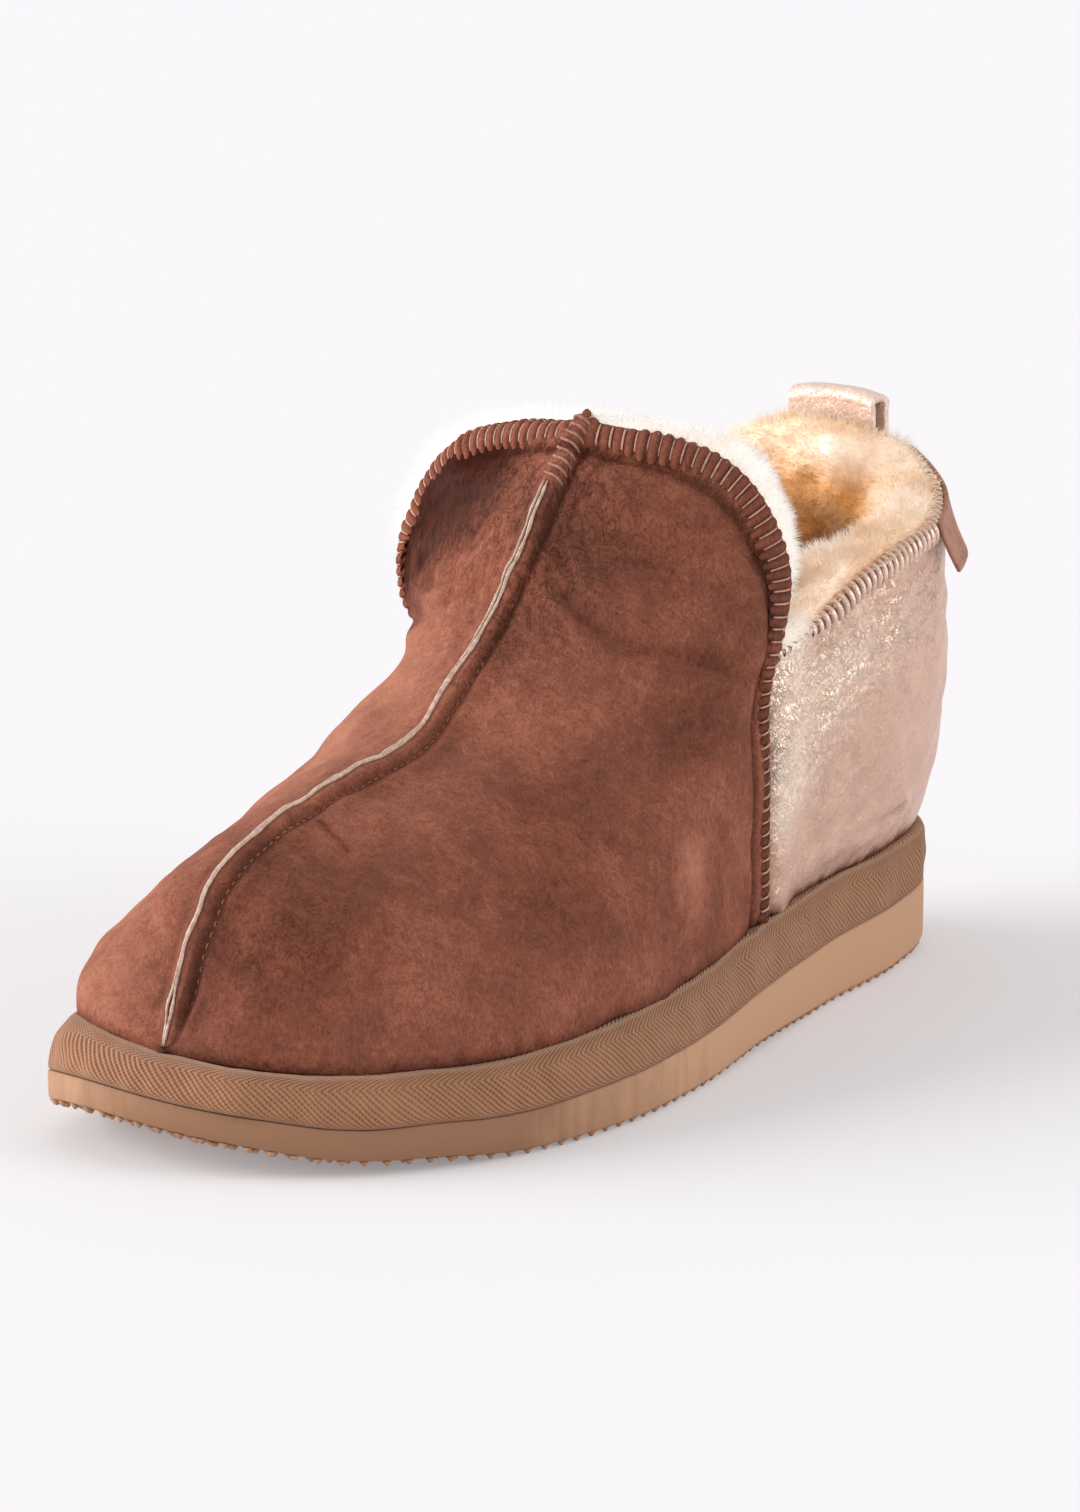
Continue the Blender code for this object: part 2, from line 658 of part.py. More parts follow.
def fleece_guides(sides):
    # lines that run from the rim down the inner wall, in order round the opening, and which of
    # them are at the notches
    tongue = {}
    for side in (LATERAL, MEDIAL):
        inner = sides[side].vamp_inner
        tongue[side] = [inner[::-1, c] for c in range(LOW_COLUMNS + 1, inner.shape[1])]
    quarter = {side: [line[::-1] for line in half.quarter_inner[1:]] for side, half in sides.items()}
    corner = {}
    distance = np.linspace(0, CORNER_REACH, CORNER_STEPS)
    for side, half in sides.items():
        ahead = at_length(half.vamp_inner[::-1, LOW_COLUMNS], distance)
        down = at_length(half.quarter_inner[0][::-1], distance)
        corner[side] = (1 - CORNER_DOWN) * ahead + CORNER_DOWN * down
    guides = [
        corner[LATERAL],
        *tongue[LATERAL],
        *tongue[MEDIAL][::-1],
        corner[MEDIAL],
        *quarter[MEDIAL],
        *quarter[LATERAL][-2::-1],
    ]
    notches = (0, 1 + len(tongue[LATERAL]) + len(tongue[MEDIAL]))
    return guides, notches


def build_fleece(material, sides):
    guides, notches = fleece_guides(sides)
    count = len(guides)
    depth = column(FLEECE_SECTION, "depth")
    inward = column(FLEECE_SECTION, "inward")
    lock = column(FLEECE_SECTION, "lock")
    lines = np.array([at_length(guide, depth) for guide in guides])
    wrapped = np.concatenate([lines[-1:], lines, lines[:1]])
    along = (wrapped[2:] - wrapped[:-2]) / 2
    down = np.array([at_length(guide, depth + PROBE) - at_length(guide, depth - PROBE) for guide in guides])
    inside = unit(np.cross(along, down))
    centre = lines.mean(axis=(0, 1))
    inside = inside * np.sign((inside * (centre - lines)).sum(-1).mean())
    number = np.arange(count)[:, None]
    row = np.arange(len(depth))[None, :]
    tuft = np.where((number + row) % 2 == 0, 1.0, -LOCK_DIP) * lock[None, :]
    near = np.min([np.abs((np.arange(count) - n + count / 2) % count - count / 2) for n in notches], axis=0)
    at_notch = 1 - fade(0, NOTCH_STATIONS, near)
    back = column(FLEECE_SECTION, "back")[None, :] > 0
    thinned = inward[None, :] * (1 - (1 - NOTCH_FLEECE) * at_notch[:, None])
    offset = np.where(back, inward[None, :] + NOTCH_ROOM * at_notch[:, None], thinned) + tuft
    rim = lines[:, 2]
    beside = fade(*LOOP_BESIDE, np.abs(rim[:, 0]) - LOOP_WIDTH / 2)
    behind_loop = (1 - beside) * (rim[:, 1] > SOLE_LENGTH / 4)
    offset = offset + LOOP_ROOM * behind_loop[:, None]
    points = lines + inside * offset[..., None]
    body = Body()
    grid = body.add(points)
    closed = np.concatenate([grid, grid[:1]])
    closed = np.concatenate([closed, closed[:, :1]], axis=1)
    body.rows(closed)
    return body.finish("fleece_collar", material)


def wall_line(grid, share):
    # line down a face of the quarter at a part of the way from notch to back
    at = share * QUARTER_COLUMNS
    i = int(min(np.floor(at), QUARTER_COLUMNS - 1))
    return (grid[i] * (1 - (at - i)) + grid[i + 1] * (at - i))[::-1]


def build_label(material, sides):
    share = np.linspace(LABEL_FROM, LABEL_TO, LABEL_COLUMNS)
    drop = np.linspace(0, LABEL_HEIGHT, LABEL_ROWS)
    wall = sides[LATERAL].quarter_outer
    lines = np.array([at_length(wall_line(wall, s), drop) for s in share])
    away = lines - np.array([0.0, SOLE_LENGTH * (0.5 - HEEL_CENTRE), 0.0])
    away[..., 2] = 0.0
    outward = surface_normals(lines, away)
    lift = 2 * GAP + LABEL_FLARE * (drop / LABEL_HEIGHT) ** 2
    near = lines + outward * lift[None, :, None]
    far = near + outward * LABEL_THICKNESS
    body = Body()
    back = body.add(near)
    front = body.add(far)
    body.rows(back)
    body.rows(front)
    for pick in (np.s_[:, 0], np.s_[:, -1], np.s_[0, :], np.s_[-1, :]):
        body.strip(back[pick], front[pick])
    return body.finish("label_tab", material)


def loop_profile(inner_line, outer_line):
    # centre line of the strap over the collar: up the inner face, round the crest, down the outer
    half = LOOP_THICKNESS / 2
    start = inner_line[0]
    end = outer_line[0]
    middle = (start + end) / 2
    span = np.linalg.norm((end - start)[:2]) / 2 + half + LOOP_SEAT
    out = unit((end - start) * np.array([1, 1, 0]))
    inner_leg = at_length(inner_line, np.array([LOOP_INNER_LEG, 0.0])) - out * (half + LOOP_SEAT)
    outer_leg = at_length(outer_line, np.array([0.0, LOOP_OUTER_LEG])) + out * (half + LOOP_SEAT)
    turn = np.linspace(np.pi, 0, LOOP_ARC + 1)
    crest = middle[2] + LOOP_RISE - half - span
    arch = middle + out * ((span + LOOP_BELLY * np.sin(turn)) * np.cos(turn))[:, None]
    arch[:, 2] = crest + span * np.sin(turn)
    return np.concatenate([inner_leg, arch, outer_leg])


def build_loop(material, sides):
    centre_columns = np.linspace(-LOOP_WIDTH / 2, LOOP_WIDTH / 2, LOOP_COLUMNS)
    rim = sides[LATERAL].quarter_outer[:, -1]
    share_of_x = np.linspace(0, 1, QUARTER_COLUMNS + 1)
    body = Body()
    grids = ([], [])
    for x in centre_columns:
        half = sides[LATERAL if x >= 0 else MEDIAL]
        share = np.interp(-abs(x), -rim[:, 0], share_of_x)
        centre = loop_profile(wall_line(half.quarter_inner, share), wall_line(half.quarter_outer, share))
        tangent = np.gradient(centre, axis=0) * np.array([0, 1, 1])
        normal = unit(np.stack([np.zeros(len(centre)), tangent[:, 2], -tangent[:, 1]], -1))
        grids[0].append(centre + normal * LOOP_THICKNESS / 2)
        grids[1].append(centre - normal * LOOP_THICKNESS / 2)
    top = body.add(np.array(grids[0]))
    low = body.add(np.array(grids[1]))
    body.rows(top)
    body.rows(low)
    for pick in (np.s_[:, 0], np.s_[:, -1], np.s_[0, :], np.s_[-1, :]):
        body.strip(top[pick], low[pick])
    return body.finish("pull_loop", material)


def centre_on_floor(nodes):
    # puts the middle of the whole shoe's box over the origin, its lowest point on the floor
    points = np.array([vertex.co for node in nodes for vertex in node.data.vertices])
    low = points.min(axis=0)
    high = points.max(axis=0)
    offset = Vector((-(low[0] + high[0]) / 2, -(low[1] + high[1]) / 2, -low[2]))
    for node in nodes:
        node.data.transform(Matrix.Translation(offset))


def main():
    for item in list(bpy.data.objects):
        bpy.data.objects.remove(item, do_unlink=True)
    upper, sides = build_upper(make_material("suede", SUEDE))
    nodes = [
        upper,
        build_outsole(make_material("foam", FOAM)),
        build_midsole(make_material("tape", TAPE)),
        build_insole(make_material("insole_wool", WOOL)),
        build_fleece(make_material("wool", WOOL), sides),
        build_loop(make_material("metallic", METALLIC), sides),
        build_label(make_material("label_leather", LABEL_LEATHER), sides),
    ]
    centre_on_floor(nodes)


main()
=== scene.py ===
# Left slipper boot in sheepskin: suede vamp, foil leather quarter, wool lining, taped platform, foam sole
import json
import math

import bpy
import numpy as np
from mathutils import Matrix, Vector

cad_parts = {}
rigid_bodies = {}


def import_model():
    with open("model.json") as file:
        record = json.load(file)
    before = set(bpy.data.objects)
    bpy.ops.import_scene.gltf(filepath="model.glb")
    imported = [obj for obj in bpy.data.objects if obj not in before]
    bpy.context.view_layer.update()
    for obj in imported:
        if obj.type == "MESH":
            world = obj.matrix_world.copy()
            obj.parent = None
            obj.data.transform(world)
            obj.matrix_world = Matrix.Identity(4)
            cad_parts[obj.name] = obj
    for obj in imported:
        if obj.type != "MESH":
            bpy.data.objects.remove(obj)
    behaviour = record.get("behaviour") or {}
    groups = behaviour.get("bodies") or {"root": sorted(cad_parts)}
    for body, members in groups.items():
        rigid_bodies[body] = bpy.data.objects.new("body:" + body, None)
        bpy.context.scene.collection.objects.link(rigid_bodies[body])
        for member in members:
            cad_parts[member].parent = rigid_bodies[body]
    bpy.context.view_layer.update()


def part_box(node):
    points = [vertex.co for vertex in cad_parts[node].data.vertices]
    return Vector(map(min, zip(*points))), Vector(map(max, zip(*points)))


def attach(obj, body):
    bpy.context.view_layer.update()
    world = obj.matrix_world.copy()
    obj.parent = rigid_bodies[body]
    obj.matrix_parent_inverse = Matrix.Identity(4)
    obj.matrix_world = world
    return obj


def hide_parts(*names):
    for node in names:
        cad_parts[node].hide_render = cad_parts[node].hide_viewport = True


for item in list(bpy.data.objects):
    bpy.data.objects.remove(item, do_unlink=True)
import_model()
print("frame loaded")

lateral, medial = 1, -1

# Form of the shoe, in metres: toe towards -Y, outer side towards +X, the same sizes as the solids
shoe = {
    "length": 0.260,
    "ballWidth": 0.1085,
    "instepHeight": 0.1307,
    "heelHeight": 0.1145,
    "notchHeight": 0.080,
    "toeSpring": 0.011,
    "springStart": 0.78,
    "archLift": 0.0008,
    "archStation": 0.42,
    "archSpread": 0.14,
    "heelLift": 0.0024,
    "heelLiftStation": 0.12,
    "toeTipX": -0.008,
    "wall": 0.0026,
    "step": 0.0009,
    "lap": 0.0006,
    "gap": 0.0003,
    "heelBulge": 0.0045,
    "quarterBlend": 0.45,
}
soleOutline = {  # stations from the heel, half widths as parts of the ball width
    "steps": 500,
    "station": (0.03, 0.12, 0.27, 0.41, 0.55, 0.68, 0.80, 0.90, 0.965),
    lateral: (0.220, 0.299, 0.353, 0.424, 0.494, 0.524, 0.482, 0.366, 0.208),
    medial: (0.220, 0.308, 0.338, 0.366, 0.438, 0.476, 0.424, 0.374, 0.304),
}
soleLayers = {  # heights of the two layers, and how far the upper stands in
    "station": (0.00, 0.21, 0.48, 0.74, 0.90, 1.00),
    "outsole": (0.0150, 0.0146, 0.0116, 0.0096, 0.0077, 0.0066),
    "tape": (0.0116, 0.0116, 0.0112, 0.0100, 0.0094, 0.0090),
    "inset": (0.0018, 0.0022, 0.0030, 0.0036, 0.0046, 0.0070),
}
vampHoops = {  # a column per hoop, from the toe to the tongue's edge
    "reach": (0, 0.050, 0.092, 0.142, 0.200, 0.268, 0.336, 0.403, 0.458, 0.505, 0.543, 0.582, 0.621),
    "station": (0.968, 0.944, 0.923, 0.893, 0.846, 0.781, 0.708, 0.642, 0.592, 0.539, 0.507, 0.464, 0.414),
    "rise": (0, 0.104, 0.212, 0.310, 0.367, 0.410, 0.425, 0.466, 0.554, 0.652, 0.748, 0.868, 0.984),
    ("fullness", lateral): (1.90, 1.90, 1.88, 1.84, 1.80, 1.82, 1.92, 2.04, 2.16, 2.40, 2.80, 3.40, 4.10),
    ("fullness", medial): (1.90, 1.95, 2.00, 2.08, 2.14, 2.18, 2.42, 2.84, 2.70, 2.42, 2.70, 3.10, 3.65),
    lateral: (0, 0.115, 0.225, 0.320, 0.405, 0.462, 0.486, 0.474, 0.450, 0.432, 0.424, 0.424, 0.430),
    medial: (0, 0.140, 0.225, 0.285, 0.325, 0.375, 0.420, 0.420, 0.412, 0.406, 0.418, 0.460, 0.535),
    ("lean", lateral): (0, 0, 0, 0, 0, 0, 0, 0, 0, 0.001, 0.003, 0.005, 0.007),
    ("lean", medial): (0, 0, 0, 0, 0, 0, 0, 0, 0, 0, 0, -0.001, -0.003),
}
hoopForm = {
    "seamToeX": -0.0045,
    "seamStraight": 9,
    "seamPeak": 0.0035,
    "peakFull": 3,
    "widen": (0.46, 0.76),
    "lean": (0.42, 0.78),
    "toeRound": 1.0,
    "roundEnd": 4,
    "steps": 160,
}
collarRows = {  # from behind the notch to the back
    "station": (0.292, 0.255, 0.177, 0.096, 0.045, 0.025, 0.021),
    "halfWidth": (0.373, 0.378, 0.375, 0.345, 0.268, 0.150, 0.0),
    "height": (0.755, 0.797, 0.842, 0.874, 0.918, 0.977, 1.0),
}
lastHoop = len(vampHoops["reach"]) - 1.0


def smooth(knots, values, at):  # smooth curve through a table's rows
    knots = np.asarray(knots, float)
    values = np.asarray(values, float)
    at = np.clip(np.asarray(at, float), knots[0], knots[-1])
    slopes = np.gradient(values, knots, axis=0)
    i = np.clip(np.searchsorted(knots, at, side="right") - 1, 0, len(knots) - 2)
    span = knots[i + 1] - knots[i]
    u = (at - knots[i]) / span
    if values.ndim == 2:
        u = u[..., None]
        span = span[..., None]
    rise = u * u * (3 - 2 * u)
    start = values[i] * (1 - rise) + slopes[i] * span * u * (1 - u) ** 2
    return start + values[i + 1] * rise - slopes[i + 1] * span * u * u * (1 - u)


def fade(low, high, at):
    u = np.clip((np.asarray(at, float) - low) / (high - low), 0, 1)
    return u * u * (3 - 2 * u)


def fall(low, high, at):
    return 1 - fade(low, high, at)


def bell(distance, width):
    return np.exp(-((np.asarray(distance, float) / width) ** 2))


def ridge(distance, height, at, width):  # a soft rise at a distance from a line
    return height * bell(distance - at, width)


def band(rise, full, ebb, gone, at):  # one between full and ebb, nothing before rise and after gone
    return fade(rise, full, at) * fall(ebb, gone, at)


def unit(vectors):
    return vectors / np.maximum(np.linalg.norm(vectors, axis=-1, keepdims=True), 1e-12)


def lengths(points):
    return np.concatenate([[0.0], np.cumsum(np.linalg.norm(np.diff(points, axis=0), axis=1))])


def pickRows(at, along, rows):  # a table of points read off at places along its rows
    return np.stack([np.interp(at, along, rows[:, k]) for k in range(rows.shape[1])], -1)


def atLength(points, distance):  # points at distances along a line, straight on before its start
    points = np.asarray(points, float)
    arc = lengths(points)
    distance = np.asarray(distance, float)
    inside = pickRows(distance, arc, points)
    lead = (points[0] - points[1]) / arc[1]
    return inside + lead * np.clip(-distance, 0, None)[..., None]


def gridNormals(points, towards):
    normal = unit(np.cross(np.gradient(points, axis=0), np.gradient(points, axis=1)))
    return normal * np.sign((normal * towards).sum(-1).mean())


def softNoise(points, size, seed, waves=18):  # smooth lumps of about this size, spread about one
    draw = np.random.default_rng(seed)
    way = unit(draw.normal(size=(waves, 3)))
    scale = 2 * np.pi / (size * draw.uniform(0.7, 1.5, waves))
    phase = draw.uniform(0, 2 * np.pi, waves)
    flat = np.asarray(points, float).reshape(-1, 3)
    total = np.zeros(len(flat))
    for k in range(waves):
        total += np.sin(flat @ way[k] * scale[k] + phase[k])
    return (total / np.sqrt(waves / 2)).reshape(points.shape[:-1])


def lumps(points, rows):  # rows of height, size and seed
    return sum(height * softNoise(points, size, seed) for height, size, seed in rows)


def pathDistance(points, path):  # from each point to a given line, and the part of it reached
    path = np.asarray(path, float)
    arc = lengths(path)
    best = np.full(points.shape[:-1], 9.0)
    reached = np.zeros(points.shape[:-1])
    for a, b, start, end in zip(path[:-1], path[1:], arc[:-1], arc[1:]):
        along = np.clip(((points - a) @ (b - a)) / ((b - a) @ (b - a)), 0, 1)
        gap = np.linalg.norm(points - a - along[..., None] * (b - a), axis=-1)
        reached = np.where(gap < best, (start + along * (end - start)) / arc[-1], reached)
        best = np.minimum(gap, best)
    return best, reached


def stationOf(y):
    return 0.5 - np.asarray(y, float) / shoe["length"]


def withHeight(plan, z):
    return np.concatenate([plan, z[..., None]], -1)


def outlineHalf(side):  # toe tip to heel, finely divided, with outward directions
    def rows(which):
        along = shoe["length"] * (0.5 - np.array(soleOutline["station"]))
        return np.stack([which * shoe["ballWidth"] * np.array(soleOutline[which]), along], -1)

    heel = np.array([[0.0, shoe["length"] / 2]])
    toe = np.array([[shoe["toeTipX"], -shoe["length"] / 2]])
    own, other = rows(side), rows(-side)
    knots = np.concatenate([other[:1], heel, own, toe, other[-1:]])
    arc = lengths(knots)
    fine = smooth(arc, knots, np.linspace(arc[-2], arc[1], soleOutline["steps"]))
    tangent = np.gradient(fine, axis=0)
    outward = unit(np.stack([tangent[:, 1], -tangent[:, 0]], -1)) * side
    return fine, outward, lengths(fine)


outlines = {side: outlineHalf(side) for side in (lateral, medial)}
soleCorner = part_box("outsole")[1]
shift = np.array([soleCorner.x - outlines[lateral][0][:, 0].max(), soleCorner.y - shoe["length"] / 2, 0.0])


def layer(name, y):
    return smooth(soleLayers["station"], soleLayers[name], stationOf(y))


def ground(y):
    station = stationOf(y)
    past = (station - shoe["springStart"]) / (1 - shoe["springStart"])
    spring = shoe["toeSpring"] * np.clip(past, 0, 1) ** 2
    arch = shoe["archLift"] * fall(0, shoe["archSpread"], np.abs(station - shoe["archStation"]))
    return spring + arch + shoe["heelLift"] * np.clip(1 - station / shoe["heelLiftStation"], 0, 1) ** 2


def outsoleTop(y):
    return ground(y) + layer("outsole", y)


def featherHeight(y):
    return outsoleTop(y) + layer("tape", y)


def edge(side, reach, inset):  # sole's edge in plan, reach 0 at the toe and 1 at the heel
    fine, outward, arc = outlines[side]
    distance = np.asarray(reach, float) * arc[-1]
    spot = pickRows(distance, arc, fine)
    way = pickRows(distance, arc, outward)
    return spot - way * np.asarray(inset, float)[..., None], way


def featherEdge(side, reach, inset):  # foot of the upper on the platform
    spot, _ = edge(side, reach, np.zeros_like(np.asarray(reach, float)))
    plan, _ = edge(side, reach, layer("inset", spot[..., 1]) + inset)
    return withHeight(plan, featherHeight(plan[..., 1]) + shoe["gap"])


def roundSole(count, inset):  # whole outline as one closed row of points, from the heel by the outer side
    half = count // 2
    reach = np.linspace(0, 1, half + 1)
    rows = []
    for side, order in ((lateral, slice(None, None, -1)), (medial, slice(1, None))):
        spot, _ = edge(side, reach, np.zeros_like(reach))
        rows.append(edge(side, reach, inset(spot[:, 1], reach, side))[0][order])
    return np.concatenate(rows)


def hoopValue(name, t):
    return smooth(np.arange(lastHoop + 1), vampHoops[name], t)


def seamPoint(t):
    y = shoe["length"] * (0.5 - hoopValue("station", t))
    foot = featherHeight(y) + shoe["gap"]
    x = hoopForm["seamToeX"] * fall(0, hoopForm["seamStraight"], t)
    return np.array([x, y, foot + (shoe["instepHeight"] - foot) * hoopValue("rise", t)])


def hoopLine(side, t):  # one side of a hoop, from the platform up to the centre seam
    foot = featherEdge(side, hoopValue("reach", t), 0.0)
    seam = seamPoint(t)
    angle = np.linspace(0, np.pi / 2, hoopForm["steps"])
    power = 2 / hoopValue(("fullness", side), t)
    out = np.cos(angle) ** power
    out[-1] = 0.0
    up = np.sin(angle) ** power
    peak = hoopForm["seamPeak"] * min(1.0, float(t) / hoopForm["peakFull"])
    footWidth = np.abs(foot[0] - seam[0])
    topWidth = shoe["ballWidth"] * hoopValue(side, t)
    wide = footWidth + (topWidth - footWidth) * fade(*hoopForm["widen"], up)
    back = foot[1] + hoopValue(("lean", side), t) * fade(*hoopForm["lean"], up)
    x = seam[0] + side * wide * out
    bow = 1 + hoopForm["toeRound"] * fall(0, hoopForm["roundEnd"], t)
    y = seam[1] + (back - seam[1]) * out ** bow
    z = foot[2] + (seam[2] - peak - foot[2]) * up + peak * (1 - out) ** 2
    return np.stack([x, y, z], -1)


def hoopSheet(side, steps, share):  # points at parts of the way up each hoop, and the hoops' lengths
    lines = [hoopLine(side, t) for t in steps]
    total = np.array([lengths(line)[-1] for line in lines])
    return np.array([atLength(line, share * size) for line, size in zip(lines, total)]), total


def fromCentre(points):  # rough outward directions round the shoe's length
    outward = points - np.array([0.0, 0.0, shoe["instepHeight"] / 3])
    outward[..., 1] = 0.0
    return outward


def bothSides(lateralRows, medialRows):  # one sheet from the outer foot over the seam to the inner foot
    return np.concatenate([lateralRows, medialRows[:, -2::-1]], axis=1)


def notchShare(side):
    line = hoopLine(side, lastHoop)
    return float(np.interp(shoe["notchHeight"], line[:, 2], lengths(line))) / lengths(line)[-1]


toeSet = {  # the tip stands lower towards the outer side, and its tape higher on the inner side
    "drop": 0.0027,
    "dropAcross": (-0.030, 0.012),
    "dropAlong": (-0.116, -0.092),
    "lift": 0.0036,
    "liftAcross": (-0.044, -0.004),
    "liftAlong": (-0.122, -0.030),
    "height": (0.032, 0.062),
}
flare = {  # the medial lobe's rear edge curls out above the notch
    "height": (0.062, 0.073, 0.079, 0.085, 0.090, 0.096, 0.104),
    "out": (0.0, 0.0045, 0.0070, 0.0060, 0.0037, 0.0014, 0.0),
    "toward": (-0.829, -0.559, 0.0),
    "front": (0.020, 0.032),
    "rear": (0.036, 0.062),
    "across": (-0.034, -0.018),
}


def setToe(points):
    x, y, z = points[..., 0], points[..., 1], points[..., 2]
    drop = toeSet["drop"] * fade(*toeSet["dropAcross"], x) * fall(*toeSet["dropAlong"], y)
    upTape = np.clip((z - outsoleTop(y)) / layer("tape", y), 0, 1)
    lift = toeSet["lift"] * fall(*toeSet["liftAcross"], x) * fall(*toeSet["liftAlong"], y) * upTape
    return points + np.stack([0 * x, 0 * x, (lift - drop) * fall(*toeSet["height"], z)], -1)


def flareLobe(points):
    x, y, z = points[..., 0], points[..., 1], points[..., 2]
    out = np.interp(z, flare["height"], flare["out"])
    out = out * fade(*flare["front"], y) * fall(*flare["rear"], y)
    out = out * fall(*flare["across"], x)
    return points + out[..., None] * np.array(flare["toward"])


def settle(points):  # every piece goes through here on its way to the mesh
    return flareLobe(setToe(points))


# Mesh tools


def deselect():
    bpy.ops.object.select_all(action="DESELECT")


def editAll():
    bpy.ops.object.mode_set(mode="EDIT")
    bpy.ops.mesh.select_all(action="SELECT")


def leaveEdit():
    bpy.ops.object.mode_set(mode="OBJECT")


def setValues(piece, values):  # one number per point, read by the materials
    for name, numbers in values.items():
        attribute = piece.data.attributes.new(name, "FLOAT", "POINT")
        attribute.data.foreach_set("value", np.asarray(numbers, np.float32).ravel())


# A grid laid on a surface
def gridPiece(name, points, values=None, joined=False, flip=False, faceOut=False):
    rows, columns = points.shape[:2]
    deselect()
    bpy.ops.mesh.primitive_grid_add(x_subdivisions=columns - 1, y_subdivisions=rows - 1, size=1)
    piece = bpy.context.object
    piece.name = name
    piece.data.name = name
    piece.data.vertices.foreach_set("co", (settle(points) + shift).ravel())
    setValues(piece, values or {})
    editAll()
    if joined:
        bpy.ops.mesh.remove_doubles(threshold=1e-6)
    if flip:
        bpy.ops.mesh.flip_normals()
    if faceOut:
        bpy.ops.mesh.normals_make_consistent(inside=False)
    leaveEdit()
    bpy.ops.object.shade_smooth()
    return piece


def closeEnds():  # fills the open rows of the active piece
    bpy.ops.object.mode_set(mode="EDIT")
    bpy.ops.mesh.select_all(action="DESELECT")
    bpy.ops.mesh.select_mode(type="EDGE")
    bpy.ops.mesh.select_non_manifold()
    bpy.ops.mesh.edge_face_add()
    leaveEdit()


def modify(piece, kind, **settings):  # adds a modifier and applies it
    bpy.context.view_layer.objects.active = piece
    modifier = piece.modifiers.new(kind.title(), kind)
    for key, value in settings.items():
        setattr(modifier, key, value)
    bpy.ops.object.modifier_apply(modifier=modifier.name)


def masterMesh():  # takes the points and faces of the active primitive and removes it
    source = bpy.context.object
    points = np.array([v.co for v in source.data.vertices])
    faces = [tuple(face.vertices) for face in source.data.polygons]
    bpy.data.objects.remove(source, do_unlink=True)
    return points, faces


def copiesPiece(name, master, places, values=None):  # copies of one small shape, each with its own points
    points, faces = master
    count = len(points)
    mesh = bpy.data.meshes.new(name)
    allFaces = [tuple(i + n * count for i in face) for n in range(len(places)) for face in faces]
    mesh.from_pydata((settle(np.concatenate(places)) + shift).tolist(), [], allFaces)
    piece = bpy.data.objects.new(name, mesh)
    bpy.context.collection.objects.link(piece)
    setValues(piece, values or {})
    mesh.shade_smooth()
    return piece


def sweepMaster(sides, cuts):  # closed tube along +Z of radius one and length one, to be bent along a path
    deselect()
    bpy.ops.mesh.primitive_cylinder_add(
        vertices=sides, radius=1, depth=1, end_fill_type="TRIFAN", location=(0, 0, 0.5)
    )
    piece = bpy.context.object
    bpy.ops.object.transform_apply(location=True, rotation=False, scale=False)
    bpy.ops.object.mode_set(mode="EDIT")
    bpy.ops.mesh.select_mode(type="EDGE")
    bpy.ops.mesh.select_all(action="DESELECT")
    leaveEdit()
    for line in piece.data.edges:
        a, b = (piece.data.vertices[i].co for i in line.vertices)
        line.select = abs(a.z - b.z) > 0.5
    bpy.ops.object.mode_set(mode="EDIT")
    bpy.ops.mesh.subdivide(number_cuts=cuts)
    leaveEdit()
    return masterMesh()


def bendAlong(master, path, normal, radius):  # copy of a tube's points along a path
    points = master[0]
    at = points[:, 2] * (len(path) - 1)
    steps = np.arange(len(path))
    tangent = unit(np.gradient(path, axis=0))
    side = unit(np.cross(tangent, normal))
    across = unit(np.cross(side, tangent))
    middle, sideways, outwards = (pickRows(at, steps, rows) for rows in (path, side, across))
    return middle + radius * (points[:, :1] * sideways + points[:, 1:2] * outwards)


def dress(piece, material, slot, *nodes):
    piece.data.materials.clear()
    piece.data.materials.append(material)
    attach(piece, "root")
    if nodes:
        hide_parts(*nodes)
    print("made", piece.name, len(piece.data.polygons), "faces")


# Material tools


def newMaterial(name, sockets):
    material = bpy.data.materials.new(name)
    material.use_nodes = True
    shader = material.node_tree.nodes["Principled BSDF"]
    for key, value in sockets.items():
        shader.inputs[key].default_value = value
    return material, material.node_tree, shader


def isSocket(value):
    return isinstance(value, bpy.types.NodeSocket)


def addNode(tree, kind, inputs=None, **settings):
    node = tree.nodes.new("ShaderNode" + kind)
    for key, value in settings.items():
        setattr(node, key, value)
    for key, value in (inputs or {}).items():
        if isSocket(value):
            tree.links.new(value, node.inputs[key])
        else:
            node.inputs[key].default_value = value
    return node


def feed(shader, sockets):
    for key, value in sockets.items():
        shader.id_data.links.new(value, shader.inputs[key])


def place(tree, scale=(1, 1, 1), turn=(0, 0, 0)):
    source = addNode(tree, "TexCoord").outputs["Object"]
    return addNode(tree, "Mapping", {"Vector": source, "Scale": scale, "Rotation": turn}).outputs[0]


def readValue(tree, name):
    return addNode(tree, "Attribute", attribute_name=name).outputs["Fac"]


def noise(vector, scale, detail=3.0, rough=0.55, twist=0.0):
    inputs = {"Vector": vector, "Scale": scale, "Detail": detail, "Roughness": rough, "Distortion": twist}
    return addNode(vector.id_data, "TexNoise", inputs).outputs[0]


def combine(operation, a, b=0.0, kind="Math"):
    tree = a.id_data if isSocket(a) else b.id_data
    return addNode(tree, kind, {0: a, 1: b}, operation=operation).outputs[0]


def plus(a, *others):
    for b in others:
        a = combine("ADD", a, b)
    return a


def minus(a, b):
    return combine("SUBTRACT", a, b)


def times(a, b):
    return combine("MULTIPLY", a, b)


def remap(value, low, high, toLow=0.0, toHigh=1.0):
    inputs = {"Value": value, "From Min": low, "From Max": high, "To Min": toLow, "To Max": toHigh}
    return addNode(value.id_data, "MapRange", inputs).outputs[0]


def blendColours(factor, a, b):
    a, b = (colour if isSocket(colour) else (*colour, 1) for colour in (a, b))
    return addNode(factor.id_data, "Mix", {0: factor, 6: a, 7: b}, data_type="RGBA").outputs[2]


